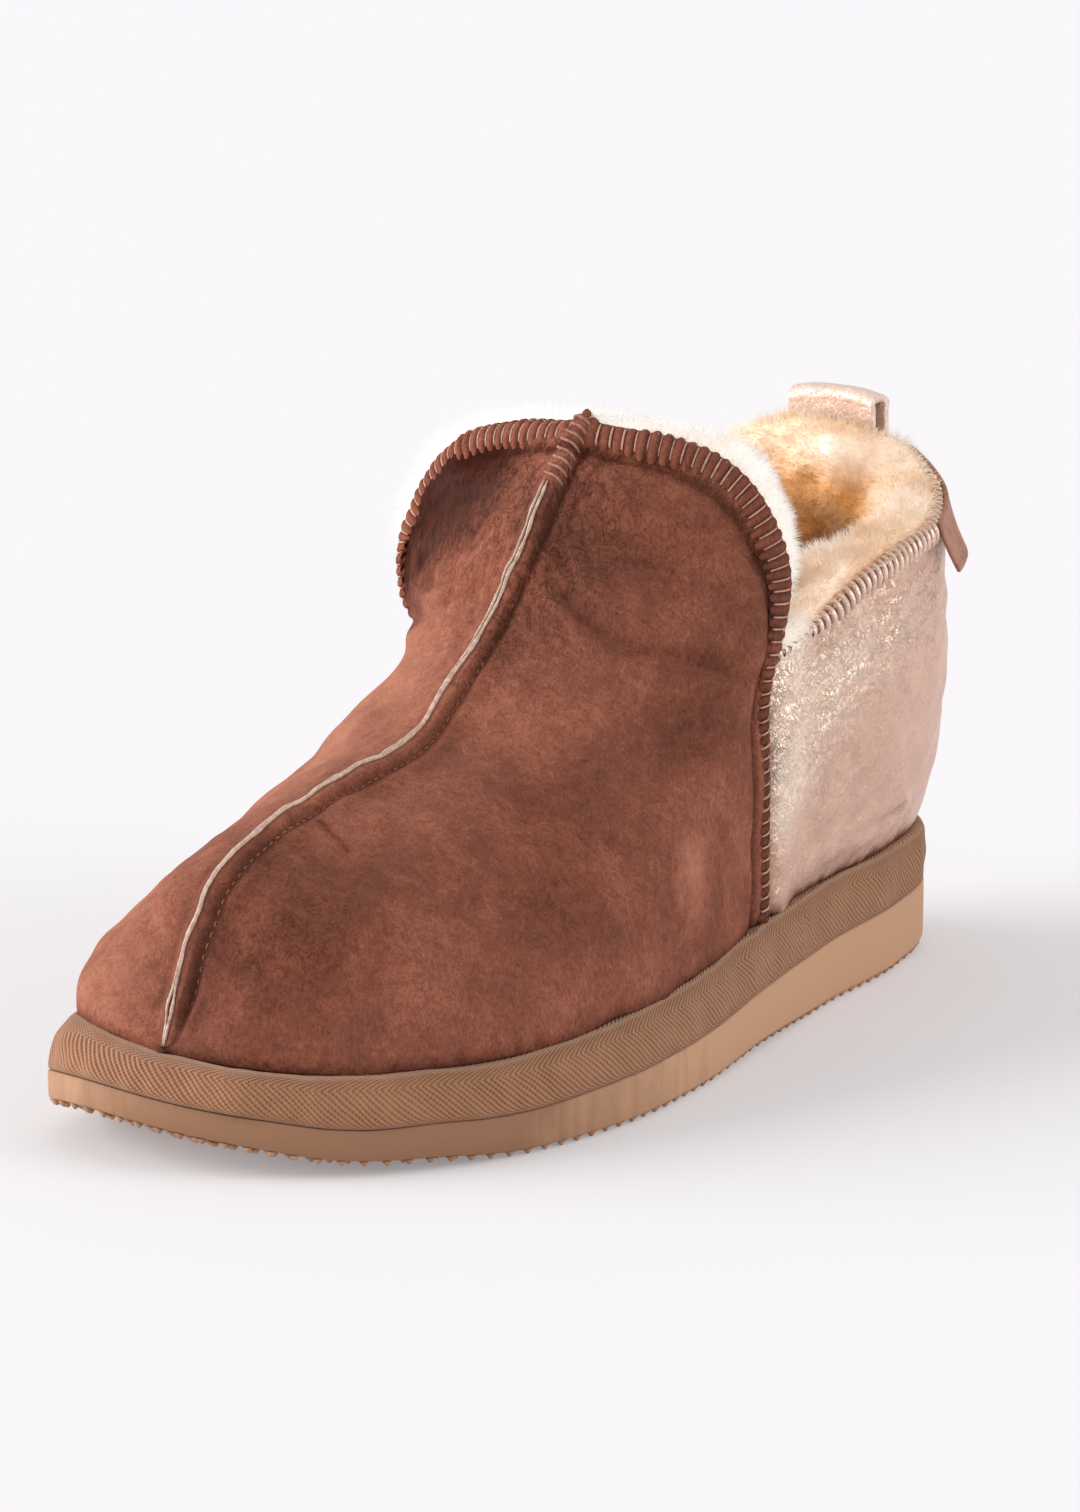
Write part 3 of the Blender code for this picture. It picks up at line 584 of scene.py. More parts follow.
def bumpNode(height, strength, distance, under=None):
    inputs = {"Height": height, "Strength": strength, "Distance": distance}
    if under is not None:
        inputs["Normal"] = under
    return addNode(height.id_data, "Bump", inputs).outputs[0]


# Finishes: a noise is given as its scale, detail, roughness and twist

suede = {
    "deep": (0.079, 0.022, 0.012),
    "mid": (0.258, 0.087, 0.053),
    "pale": (0.468, 0.198, 0.127),
    # painted shade colour of the medial lobe's inner face
    "hollow": (0.030, 0.004, 0.001),
    "grey": (0.130, 0.056, 0.044),
    "sockets": {
        "Roughness": 0.92, "Specular IOR Level": 0.06, "Sheen Weight": 0.03, "Sheen Roughness": 0.45,
        "Sheen Tint": (1.0, 0.78, 0.66, 1),
    },
    "patches": (46, 4, 0.6, 0.5),
    "clouds": (330, 5, 0.72, 0.8),
    "nap": (1500, 4, 0.75, 0.3),
    "specks": (3200, 2, 0.6),
    "folds": (330, 3, 0.6, 1.0),
    "share": {"patches": 0.40, "clouds": 0.42, "nap": 0.46, "hollow": 0.92, "grey": 0.25},
    "foldWidth": 0.045,
    "foldShade": 0.13,
}


def suedeMaterial():
    material, tree, shader = newMaterial("suedeNap", suede["sockets"])
    share = suede["share"]
    spot = place(tree)
    patches = noise(spot, *suede["patches"])
    clouds = noise(spot, *suede["clouds"])
    nap = noise(place(tree, (1, 1, 0.5), (0.5, 0.3, 0)), *suede["nap"])
    specks = noise(spot, *suede["specks"])
    tone = plus(times(patches, share["patches"]), times(clouds, share["clouds"]), times(nap, share["nap"]))
    # the suede's own tone with painted light and shade, read from the mesh
    tone = plus(tone, remap(specks, 0.3, 0.7, -0.13, 0.01), readValue(tree, "toneAndLight"))
    folds = noise(place(tree, (1, 1, 0.35), (0.3, 0.0, 0.4)), *suede["folds"])
    folds = remap(combine("ABSOLUTE", minus(folds, 0.5)), 0.0, suede["foldWidth"], 1.0, 0.0)
    folds = times(folds, readValue(tree, "crinkle"))
    # painted shade along the fold lines
    tone = minus(tone, times(folds, suede["foldShade"]))
    colour = blendColours(remap(tone, 0.30, 0.60), suede["deep"], suede["mid"])
    colour = blendColours(remap(tone, 0.58, 0.92), colour, suede["pale"])
    # painted shade on the medial lobe's inner face
    hollow = remap(readValue(tree, "hollow"), 0.0, 0.7, 0.0, share["hollow"])
    colour = blendColours(hollow, colour, suede["hollow"])
    colour = blendColours(times(remap(patches, 0.56, 0.36), share["grey"]), colour, suede["grey"])
    fine = bumpNode(plus(times(nap, 0.6), times(specks, 0.4)), 0.45, 0.0006)
    folded = bumpNode(times(folds, -1), 0.6, 0.0008, fine)
    feed(shader, {"Base Color": colour, "Normal": bumpNode(clouds, 0.30, 0.0010, folded)})
    return material


foil = {
    # painted highlight colour for the gleam and the glints
    "highlightColour": (1.000, 0.810, 0.660),
    "dark": (0.200, 0.095, 0.060),
    "roughness": 0.36,
    "quarter": {"metallic": 0.88, "rose": (0.630, 0.380, 0.290), "blush": (0.745, 0.490, 0.385)},
    "loop": {"metallic": 0.45, "rose": (0.680, 0.460, 0.390), "blush": (0.790, 0.580, 0.510)},
    "rumple": (150, 4, 0.6, 0.5),
    "pebble": (620, 3, 0.6, 0.4),
    "breaks": (240, 3, 0.6),
    "sparks": (760, 4, 0.75, 0.8),
    "cells": 760,
    "warp": 0.0040,
    "dipShare": 0.32,
    "paintedGleamShare": 0.85,
}


def foilMaterial(name, tones):
    sockets = {"Roughness": foil["roughness"], "Metallic": tones["metallic"]}
    material, tree, shader = newMaterial(name, sockets)
    spot = place(tree)
    rumple = noise(spot, *foil["rumple"])
    pebble = noise(spot, *foil["pebble"])
    warp = addNode(tree, "TexNoise", {"Vector": spot, "Scale": 300, "Detail": 3.0}).outputs[1]
    bent = combine("MULTIPLY", warp, (foil["warp"],) * 3, "VectorMath")
    bent = combine("ADD", spot, bent, "VectorMath")
    cells = {"Vector": bent, "Scale": foil["cells"]}
    cells = addNode(tree, "TexVoronoi", cells, feature="DISTANCE_TO_EDGE").outputs[0]
    amount = readValue(tree, "crackle")
    lines = times(remap(cells, 0.09, 0.0), remap(noise(spot, *foil["breaks"]), 0.42, 0.60))
    lines = times(lines, amount)
    spark = combine("MAXIMUM", lines, remap(noise(bent, *foil["sparks"]), 0.52, 0.62))
    paintedGleam = readValue(tree, "paintedGlint")
    paintedGlint = times(paintedGleam, spark)
    dips = times(remap(pebble, 0.48, 0.36), times(amount, foil["dipShare"]))
    colour = blendColours(remap(rumple, 0.35, 0.70), tones["rose"], tones["blush"])
    colour = blendColours(dips, colour, foil["dark"])
    # painted highlight: a broad gleam and glints on the crackle
    colour = blendColours(times(paintedGleam, foil["paintedGleamShare"]), colour, foil["highlightColour"])
    colour = blendColours(paintedGlint, colour, foil["highlightColour"])
    # painted shade under the vamp's edge, in the fold and between the collar's beads, with a darker line
    # along the foot
    colour = blendColours(readValue(tree, "shadeAndSoil"), colour, foil["dark"])
    rough = minus(remap(rumple, 0.3, 0.7, 0.30, 0.46), times(paintedGlint, 0.14))
    grain = bumpNode(pebble, 0.50, 0.0007, bumpNode(rumple, 0.30, 0.0014))
    relief = bumpNode(times(spark, amount), 0.70, 0.0007, grain)
    feed(shader, {"Base Color": colour, "Roughness": rough, "Normal": relief})
    return material


wool = {
    "tip": (1.000, 0.945, 0.890),
    "gold": (0.980, 0.550, 0.205),
    # painted shade colour deep inside the opening
    "shade": (0.420, 0.180, 0.058),
    "sockets": {
        "Roughness": 0.95, "Specular IOR Level": 0.1, "Sheen Weight": 0.5, "Sheen Roughness": 0.5,
        # painted glow: the wool gives off light as if lit through its fibres
        "Emission Strength": 0.37,
    },
    "locks": (240, 4, 0.6, 0.8),
    "fibre": (1700, 2, 0.6),
    "deepGlow": 0.10,
}


def woolMaterial():
    material, tree, shader = newMaterial("woolPile", wool["sockets"])
    spot = place(tree)
    locks = noise(spot, *wool["locks"])
    fibre = noise(spot, *wool["fibre"])
    depth = plus(readValue(tree, "gold"), remap(locks, 0.3, 0.7, -0.06, 0.06))
    colour = blendColours(remap(depth, 0.0, 0.60), wool["tip"], wool["gold"])
    # past 0.6 the wool darkens toward painted shade, deeper inside
    colour = blendColours(remap(depth, 0.6, 1.15), colour, wool["shade"])
    # painted glow, weaker deeper in
    glow = blendColours(remap(depth, 0.05, 0.50, 1.0, wool["deepGlow"]), (0, 0, 0), colour)
    relief = bumpNode(plus(times(locks, 0.5), fibre), 0.4, 0.0010)
    feed(shader, {"Base Color": colour, "Emission Color": glow, "Normal": relief})
    return material


tapeWeave = {
    "thread": (0.385, 0.180, 0.092),
    "groove": (0.165, 0.068, 0.033),
    "worn": (0.48, 0.25, 0.14),
    "selvage": (0.60, 0.37, 0.23),
    "selvageFrom": (0.70, 0.80),
    "sockets": {"Roughness": 0.9, "Specular IOR Level": 0.15, "Sheen Weight": 0.15},
    "pitch": 0.0015,
    "crossPitch": 0.8,
    "slope": 1.6,
    "spine": 0.54,
    "sway": 0.0010,
}


def tapeMaterial(along, up):  # along and up: real length and width of the tape's UV map
    material, tree, shader = newMaterial("herringboneTape", tapeWeave["sockets"])
    uv = addNode(tree, "SeparateXYZ", {0: addNode(tree, "TexCoord").outputs["UV"]}).outputs
    u = times(uv[0], along)
    arm = times(combine("ABSOLUTE", times(minus(uv[1], tapeWeave["spine"]), up)), tapeWeave["slope"])
    sway = times(minus(noise(place(tree), 90, 2), 0.5), tapeWeave["sway"])
    turn = 2 * math.pi / tapeWeave["pitch"]
    rib = remap(combine("SINE", times(plus(u, sway, arm), turn)), -1, 1)
    turn = 2 * math.pi / (tapeWeave["crossPitch"] * tapeWeave["pitch"])
    cross = remap(combine("SINE", times(minus(u, arm), turn)), -1, 1)
    thread = plus(rib, times(cross, 0.35))
    blotch = noise(place(tree), 120, 3)
    colour = blendColours(remap(thread, 0.10, 0.75), tapeWeave["groove"], tapeWeave["thread"])
    colour = blendColours(remap(blotch, 0.35, 0.75, 0.0, 0.30), colour, tapeWeave["worn"])
    high = remap(uv[1], *tapeWeave["selvageFrom"])
    colour = blendColours(times(high, 0.45), colour, tapeWeave["selvage"])
    feed(shader, {"Base Color": colour, "Normal": bumpNode(thread, 0.7, 0.0005)})
    return material


foam = {
    "light": (0.515, 0.295, 0.175),
    "dark": (0.285, 0.145, 0.081),
    "sockets": {"Roughness": 0.75, "Specular IOR Level": 0.25},
    "blotch": (38, 4, 0.6),
    "streak": (420, 3, 0.6),
    "pores": (1900, 2, 0.6),
}


def foamMaterial():
    material, tree, shader = newMaterial("foamRubber", foam["sockets"])
    spot = place(tree)
    streak = noise(place(tree, (1, 1, 0.06)), *foam["streak"])
    tone = plus(times(noise(spot, *foam["blotch"]), 0.7), times(streak, 0.3), readValue(tree, "toneAndLight"))
    colour = blendColours(remap(tone, 0.30, 0.72), foam["dark"], foam["light"])
    relief = bumpNode(plus(noise(spot, *foam["pores"]), streak), 0.16, 0.0005)
    feed(shader, {"Base Color": colour, "Normal": relief})
    return material


plainTones = {  # low tone, high tone, scale and roughness
    "stitchThread": ((0.36, 0.175, 0.122), (0.62, 0.370, 0.285), 900, 0.8),
    "seamThread": ((0.20, 0.085, 0.055), (0.42, 0.220, 0.160), 900, 0.85),
    "darkThread": ((0.10, 0.045, 0.030), (0.24, 0.120, 0.085), 900, 0.8),
    "flangeThread": ((0.15, 0.055, 0.032), (0.34, 0.155, 0.100), 900, 0.9),
    "rawEdge": ((0.42, 0.265, 0.190), (0.78, 0.610, 0.500), 900, 0.9),
    "labelLeather": ((0.27, 0.108, 0.063), (0.47, 0.225, 0.138), 300, 0.55),
}


def plainMaterial(name, low, high, scale, roughness):  # two tones of one finish
    material, tree, shader = newMaterial(name, {"Roughness": roughness})
    tone = noise(place(tree), scale, 4, 0.65, 0.4)
    colour = blendColours(remap(tone, 0.3, 0.7), low, high)
    feed(shader, {"Base Color": colour, "Normal": bumpNode(tone, 0.4, 0.0005)})
    return material


napSuede = suedeMaterial()
foilLeather = foilMaterial("foilLeather", foil["quarter"])
loopFoil = foilMaterial("loopFoil", foil["loop"])
woolPile = woolMaterial()
foamRubber = foamMaterial()
plain = {name: plainMaterial(name, *tones) for name, tones in plainTones.items()}
print("finishes ready")

# Vamp

vamp = {
    "hoops": 190,
    "columns": 112,
    "gather": 0.40,  # how much closer the columns stand towards the seam
    "wall": 0.0022,
    "thinToe": (0.004, 0.020),
    "thinnest": 0.03,
    "relief": {  # height, distance and width of each rise or dip
        "ridge": (0.0017, 0, 0.0024),
        "flange": ((0.0008, 0.0018, 0.0010), (-0.0007, 0.0033, 0.0009), (0.0004, 0.0054, 0.0018)),
        "innerFlange": 0.3,
        "groove": (0.0007, 0.0080, 0.0013),
        "tuck": 0.0006,
        "tuckWidth": 0.0022,
        "pleat": 0.00028,
        "pleatStretch": (0.6, 2.4, 2.4),
        "pleatHoops": (7.5, 9.0, 10.8, 11.6),
        "wave": 0.00030,
        "wavePitch": 0.0040,
        "waveBand": (0.006, 0.009, 0.020, 0.028),
        "lumps": ((0.00042, 0.030, 21), (0.00014, 0.009, 22)),  # height, size and seed
        "toeHoops": (0.0, 1.1),
    },
    "creases": (  # listed lines, depth and width of the trough, height of the ridge beside it
        {
            "path": ((0.0060, -0.0010, 0.1000), (0.0210, -0.0033, 0.0908), (0.0293, 0.0002, 0.0868),
                     (0.0345, 0.0054, 0.0850), (0.0406, 0.0151, 0.0824), (0.0430, 0.0240, 0.0770)),
            "depth": 0.0016, "width": 0.0024, "ridge": 0.0010,
        },
        {
            "path": ((0.0050, 0.0040, 0.1065), (0.0120, -0.0010, 0.0990), (0.0200, -0.0010, 0.0945)),
            "depth": 0.0006, "width": 0.0022, "ridge": 0.0004,
        },
        {
            "path": ((-0.0060, -0.0010, 0.1000), (-0.0220, -0.0020, 0.0920), (-0.0300, 0.0030, 0.0880),
                     (-0.0370, 0.0100, 0.0860), (-0.0430, 0.0200, 0.0840)),
            "depth": 0.0015, "width": 0.0026, "ridge": 0.0010,
        },
        {
            "path": ((-0.0150, 0.0030, 0.0990), (-0.0260, 0.0050, 0.0940), (-0.0380, 0.0140, 0.0910)),
            "depth": 0.0008, "width": 0.0020, "ridge": 0.0006,
        },
    ),
    "toneAndLightMarks": (  # soft patches: the suede's own tone and scuffs, and painted light on the medial toe and side: place, reach along each axis, darker below zero
        {"at": (0.0411, -0.0489, 0.0479), "reach": (0.016, 0.016, 0.010), "toneAndLight": -0.13},
        {"at": (0.0406, 0.0034, 0.0712), "reach": (0.010, 0.014, 0.010), "toneAndLight": -0.12},
        {"at": (0.0284, -0.0355, 0.0622), "reach": (0.012, 0.016, 0.008), "toneAndLight": -0.09},
        {"at": (0.0130, -0.1050, 0.0430), "reach": (0.016, 0.022, 0.016), "toneAndLight": -0.20},
        {"at": (0.0200, 0.0100, 0.1080), "reach": (0.018, 0.016, 0.014), "toneAndLight": -0.13},
        {"at": (-0.0300, 0.0150, 0.1120), "reach": (0.016, 0.022, 0.018), "toneAndLight": -0.20},
        # painted light: the medial toe and side made lighter where the key lamp falls
        {"at": (-0.0250, -0.1050, 0.0350), "reach": (0.020, 0.026, 0.020), "toneAndLight": 0.14},
        {"at": (-0.0280, -0.0300, 0.0700), "reach": (0.022, 0.044, 0.024), "toneAndLight": 0.22},
        {"at": (0.0480, -0.0100, 0.0450), "reach": (0.004, 0.005, 0.009), "toneAndLight": 0.16},
        {"at": (0.0384, -0.0891, 0.0348), "reach": (0.016, 0.020, 0.010), "toneAndLight": -0.02},
        {"at": (0.0185, -0.0405, 0.0655), "reach": (0.008, 0.020, 0.006), "toneAndLight": 0.06},
    ),
    "scratches": (  # line, width and how much darker
        (((0.0039, -0.0791, 0.0623), (0.0090, -0.0808, 0.0603), (0.0132, -0.0824, 0.0582)), 0.0007, 0.22),
    ),
    "paintedShades": {  # painted shade at the foot, in the groove behind the rear edge, on the lobe, beside the flange and along the creases: how much darker, distance and width
        "foot": (0.20, 0, 0.0022),
        "rear": (0.24, 0.0080, 0.0014),
        "hollow": 0.10,
        "flange": ((0.20, 0.06, 0.0033, 0.0011), (0.07, 0.02, 0.0068, 0.0028)),  # outer and inner side first
        "crease": 48,  # for each metre of a crease's depth
    },
}


def columnShares(count):
    u = np.linspace(0, 1, count + 1)
    return u + vamp["gather"] * np.sin(np.pi * u) / np.pi


def vampSurface(hoops, columns):
    steps = np.linspace(0.0, lastHoop, hoops)
    share = columnShares(columns)
    sheets = {side: hoopSheet(side, steps, share) for side in (lateral, medial)}
    points = bothSides(sheets[lateral][0], sheets[medial][0])
    onLateral = np.arange(points.shape[1])[None, :] <= columns
    total = np.where(onLateral, sheets[lateral][1][:, None], sheets[medial][1][:, None])
    up = np.concatenate([share, share[-2::-1]])[None, :]
    normal = gridNormals(points, fromCentre(points))
    normal[0] = normal[1]
    jumps = np.linalg.norm(np.diff(points, axis=0), axis=-1)
    rear = np.concatenate([np.cumsum(jumps[::-1], axis=0)[::-1], np.zeros((1, points.shape[1]))])
    return {
        "points": points,
        "normal": normal,
        "fromSeam": (1 - up) * total,
        "fromFoot": up * total,
        "fromRear": rear,
        "lateral": np.repeat(onLateral, hoops, 0),
        "hoop": np.repeat(steps[:, None], points.shape[1], 1),
    }


def vampRelief(sheet):
    relief = vamp["relief"]
    points = sheet["points"]
    fromSeam, rear = sheet["fromSeam"], sheet["fromRear"]
    flange = sum(ridge(fromSeam, *row) for row in relief["flange"])
    flange = np.where(sheet["lateral"], flange, relief["innerFlange"] * flange)
    lift = flange * (0.7 + 0.3 * softNoise(points, 0.02, 5))
    pleats = softNoise(points * np.array(relief["pleatStretch"]), 0.006, 11)
    pleats = relief["pleat"] * pleats * band(*relief["pleatHoops"], sheet["hoop"])
    lift = lift + pleats * fade(0.004, 0.007, fromSeam) * fall(0.012, 0.026, fromSeam)
    for crease in vamp["creases"]:
        gap, reached = pathDistance(points, crease["path"])
        ends = band(0.0, 0.16, 0.84, 1.0, reached)
        wide = crease["width"]
        lift = lift - crease["depth"] * bell(gap, wide) * ends
        lift = lift + ridge(gap, crease["ridge"], 1.9 * wide, 0.9 * wide) * ends
    for height, size, seed in relief["lumps"]:
        lift = lift + height * softNoise(points, size, seed)
    lift = lift * fade(0.0, 0.007, rear)
    lobe = np.where(sheet["lateral"], 0.0, 1.0) * fade(0.082, 0.092, points[..., 2])
    lobe = lobe * fade(0.006, 0.012, fromSeam)
    waves = np.sin(2 * np.pi * (rear / relief["wavePitch"] + 0.25 * softNoise(points, 0.02, 23)))
    lift = lift + relief["wave"] * waves * lobe * band(*relief["waveBand"], rear)
    lift = lift - ridge(rear, *relief["groove"]) * fade(0.003, 0.006, fromSeam)
    lift = lift + ridge(fromSeam, *relief["ridge"])
    tuck = relief["tuck"] * np.exp(-sheet["fromFoot"] / relief["tuckWidth"])
    return lift * fade(*relief["toeHoops"], sheet["hoop"]) - tuck


def vampLobeShade(sheet):  # painted shade on the inner face of the medial lobe, where it curls away from the light
    points = sheet["points"]
    curl = np.where(sheet["lateral"], 0.0, 1.0) * fade(0.078, 0.100, points[..., 2])
    curl = curl * fade(0.006, 0.028, sheet["fromSeam"]) * fall(0.002, 0.040, sheet["fromRear"])
    return np.clip(curl * (1 + 0.2 * softNoise(points, 0.007, 24)), 0, 1)


def vampCrinkle(sheet):  # fine folds of the tongue, with painted shade in their lines, most on the medial lobe
    high = fade(0.068, 0.098, sheet["points"][..., 2])
    inner = 1 - 0.8 * fade(0.012, 0.050, sheet["fromRear"])
    outer = 0.25 + 0.55 * fall(0.006, 0.026, sheet["fromSeam"])
    return high * np.where(sheet["lateral"], outer, inner)


def vampToneAndLight(sheet):
    paintedShades = vamp["paintedShades"]
    points = sheet["points"]
    toneAndLight = np.zeros(points.shape[:-1])
    for mark in vamp["toneAndLightMarks"]:
        gap = np.linalg.norm((points - np.array(mark["at"])) / np.array(mark["reach"]), axis=-1)
        toneAndLight = toneAndLight + mark["toneAndLight"] * np.exp(-gap * gap)
    # painted shade: darker at the foot under the tape's lip, in the groove behind the rear edge, on the
    # lobe's inner face, beside the seam's flange and along the creases
    toneAndLight = toneAndLight - ridge(sheet["fromFoot"], *paintedShades["foot"])
    toneAndLight = toneAndLight - ridge(sheet["fromRear"], *paintedShades["rear"])
    toneAndLight = toneAndLight - paintedShades["hollow"] * vampLobeShade(sheet)
    for outer, inner, at, width in paintedShades["flange"]:
        toneAndLight = toneAndLight - ridge(sheet["fromSeam"], np.where(sheet["lateral"], outer, inner), at, width)
    for line, width, depth in vamp["scratches"]:
        toneAndLight = toneAndLight - depth * bell(pathDistance(points, line)[0], width)
    for crease in vamp["creases"]:
        gap, _ = pathDistance(points, crease["path"])
        toneAndLight = toneAndLight - paintedShades["crease"] * crease["depth"] * bell(gap, 0.6 * crease["width"])
    return toneAndLight


def buildVamp():
    sheet = vampSurface(vamp["hoops"], vamp["columns"])
    points = sheet["points"] + sheet["normal"] * vampRelief(sheet)[..., None]
    sheet["shaped"] = points
    values = {"toneAndLight": vampToneAndLight(sheet), "hollow": vampLobeShade(sheet), "crinkle": vampCrinkle(sheet)}
    piece = gridPiece("vamp", points, values, joined=True, flip=True)
    group = piece.vertex_groups.new(name="wall")  # the wall runs thin where the hoops meet at the toe
    spots = np.array([v.co for v in piece.data.vertices])
    tip = np.linalg.norm(spots - shift - points[0, vamp["columns"]], axis=-1)
    for index, weight in enumerate(fade(*vamp["thinToe"], tip).tolist()):
        group.add([index], weight, "REPLACE")
    thin = {"vertex_group": "wall", "thickness_vertex_group": vamp["thinnest"]}
    modify(piece, "SOLIDIFY", thickness=vamp["wall"], offset=-1.0, **thin)
    dress(piece, napSuede, "suede", "upper")
    return sheet


vampSheet = buildVamp()

# Quarter

quarter = {  # height, distance and width of each rise or dip
    "columns": 150,
    "rows": 64,
    "wall": 0.0017,
    "pinch": 0.0030,
    "pinchReach": 0.0024,
    "shoulder": (0.0014, 0.0080, 0.0065),
    "belly": (0.0011, 0.016, 0.016),
    "tuck": 0.0004,
    "tuckReach": 0.0022,
    "lumps": ((0.00022, 0.022, 31), (0.00016, 0.008, 32)),
    "fold": ((0.0440, 0.0360, 0.0300), (0.0400, 0.0640, 0.0335), (0.0350, 0.0930, 0.0370)),
    "foldDip": (0.0009, 0, 0.0016),
    "foldRidge": (0.0006, 0.003, 0.002),
    "wrinkle": 0.00045,
    "wrinkleStretch": (0.5, 0.5, 2.4),
    "under": 0.0010,  # step in below the vamp's edge, and how far it runs on there
    "lap": 0.0032,
    "wearAndLight": {  # crackle and the foot line are wear, the glints are painted highlights, the rest is painted shade: strength, distance below the rim or behind the vamp, and width
        "crackle": (0.15, 0.75),  # all over, and more behind the vamp
        "crackleRim": (0.65, 0.016, 0.011),
        "paintedGlint": 0.08,  # all over
        "paintedGlintRim": (0.65, 0.016, 0.009),
        "paintedGlintFront": (0.50, 0.022, 0.013),
        "shadowUnderVamp": (0.85, 0, 0.0032),
        "shadeInFold": (0.25, 0, 0.0012),
        "soilFoot": (0.62, 0.25),  # mean and spread along the tape
    },
}


def quarterSurface(side, columns, rows):  # from the vamp's rear edge to the back of the heel
    level = np.linspace(0, 1, rows + 1)
    pair, _ = hoopSheet(side, (lastHoop - 0.1, lastHoop), level * notchShare(side))
    rear = pair[1]
    back = unit(pair[1] - pair[0])
    along = np.gradient(rear, axis=0)
    normal = unit(np.cross(along, back)) * side
    normal = normal * np.sign(normal[:, 0].mean() * side)
    front = rear - normal * shoe["step"] + back * shoe["lap"]
    across = np.linspace(0, 1, columns + 1)
    reach = hoopValue("reach", lastHoop) * (1 - across) + across
    foot = featherEdge(side, reach, shoe["step"])
    rim = np.stack(
        [
            side * shoe["ballWidth"] * np.array(collarRows["halfWidth"]),
            shoe["length"] * (0.5 - np.array(collarRows["station"])),
            shoe["heelHeight"] * np.array(collarRows["height"]),
        ],
        -1,
    )
    knots = np.concatenate([front[-1:], rim, (rim[-2] * np.array([-1, 1, 1]))[None]])
    arc = lengths(knots)
    collar = smooth(arc, knots, across * arc[-2])
    _, way = edge(side, reach, np.zeros_like(reach))
    outward = np.concatenate([way, np.zeros_like(way[:, :1])], -1)
    up = level[None, :, None]
    points = foot[:, None] * (1 - up) + collar[:, None] * up
    bulge = shoe["heelBulge"] * fade(0, shoe["quarterBlend"], across)[:, None, None] * 4 * up * (1 - up)
    points = points + outward[:, None] * bulge
    points = points + (front - points[0])[None] * fall(0, shoe["quarterBlend"], across)[:, None, None]
    normal = gridNormals(points, outward[:, None] + np.zeros_like(points))
    return points, normal


def wholeQuarter(columns, rows):  # both halves in one row of columns round the heel
    halves = {side: quarterSurface(side, columns, rows) for side in (lateral, medial)}
    return tuple(np.concatenate([halves[lateral][k], halves[medial][k][-2::-1]]) for k in range(2))


def quarterWearAndLight(points, front, low, top, fold):
    wearAndLight = quarter["wearAndLight"]
    base, edgeShare = wearAndLight["crackle"]
    crackle = base + edgeShare * fall(0.010, 0.040, front) * fade(0.010, 0.034, low)
    crackle = crackle + ridge(top, *wearAndLight["crackleRim"])
    # painted highlight near the vamp's edge and below the rim
    paintedGlint = fall(0.006, 0.024, front) * fade(0.008, 0.030, low) + wearAndLight["paintedGlint"]
    paintedGlint = paintedGlint + ridge(top, *wearAndLight["paintedGlintRim"]) * fall(0.03, 0.08, front)
    paintedGlint = paintedGlint + ridge(top, *wearAndLight["paintedGlintFront"]) * fall(0.012, 0.042, front)
    # painted shadow under the vamp's proud edge and painted shade in the fold, then a darker line along the
    # foot
    shadeAndSoil = ridge(front, *wearAndLight["shadowUnderVamp"]) * fade(0.004, 0.012, top)
    shadeAndSoil = shadeAndSoil + ridge(fold, *wearAndLight["shadeInFold"])
    even, uneven = wearAndLight["soilFoot"]
    shadeAndSoil = shadeAndSoil + (even + uneven * softNoise(points, 0.004, 34)) * bell(low - 0.0006, 0.0017)
    return {"crackle": crackle, "paintedGlint": paintedGlint, "shadeAndSoil": shadeAndSoil}


def buildQuarter():
    points, normal = wholeQuarter(quarter["columns"], quarter["rows"])
    steps = np.linalg.norm(np.diff(points, axis=0), axis=-1)
    ahead = np.concatenate([np.zeros((1, points.shape[1])), np.cumsum(steps, axis=0)])
    front = np.minimum(ahead, ahead[-1] - ahead)
    tall = np.linalg.norm(np.diff(points, axis=1), axis=-1).sum(1)
    low = np.linspace(0, 1, points.shape[1])[None, :] * tall[:, None]
    top = low[:, -1:] - low
    lift = -quarter["pinch"] * np.exp(-front / quarter["pinchReach"]) + ridge(front, *quarter["shoulder"])
    lift = lift * fade(0, 0.010, top + 0.002)
    for height, size, seed in quarter["lumps"]:
        lift = lift + height * softNoise(points, size, seed)
    fold = pathDistance(points, quarter["fold"])[0]
    lift = lift - ridge(fold, *quarter["foldDip"]) + ridge(fold, *quarter["foldRidge"])
    lift = lift - quarter["tuck"] * np.exp(-low / quarter["tuckReach"])
    lift = lift + ridge(low, *quarter["belly"]) * fade(0.03, 0.07, front)
    shaped = points + normal * lift[..., None]
    wrinkled = bell(top - 0.015, 0.011) * fall(0.04, 0.09, front) * fade(0.002, 0.006, front)
    wrinkles = softNoise(points * np.array(quarter["wrinkleStretch"]), 0.0055, 33)
    shaped = shaped + normal * (quarter["wrinkle"] * wrinkled * wrinkles)[..., None]
    under = [shaped[k] - normal[k] * quarter["under"] for k in (0, -1)]
    heading = [unit(points[0] - points[1]), unit(points[-1] - points[-2])]
    ends = [tuck + way * quarter["lap"] for tuck, way in zip(under, heading)]
    shaped = np.concatenate([ends[0][None], shaped, ends[1][None]])
    values = quarterWearAndLight(points, front, low, top, fold)
    for name, rows in values.items():
        values[name] = np.clip(np.concatenate([rows[:1], rows, rows[-1:]]), 0, 1).T
    piece = gridPiece("quarter", shaped.transpose(1, 0, 2), values)
    modify(piece, "SOLIDIFY", thickness=quarter["wall"], offset=-1.0)
    dress(piece, foilLeather, "metallic", "upper")
    return points, normal


quarterPoints, quarterNormal = buildQuarter()

# Whipstitched edges of the vamp and the collar

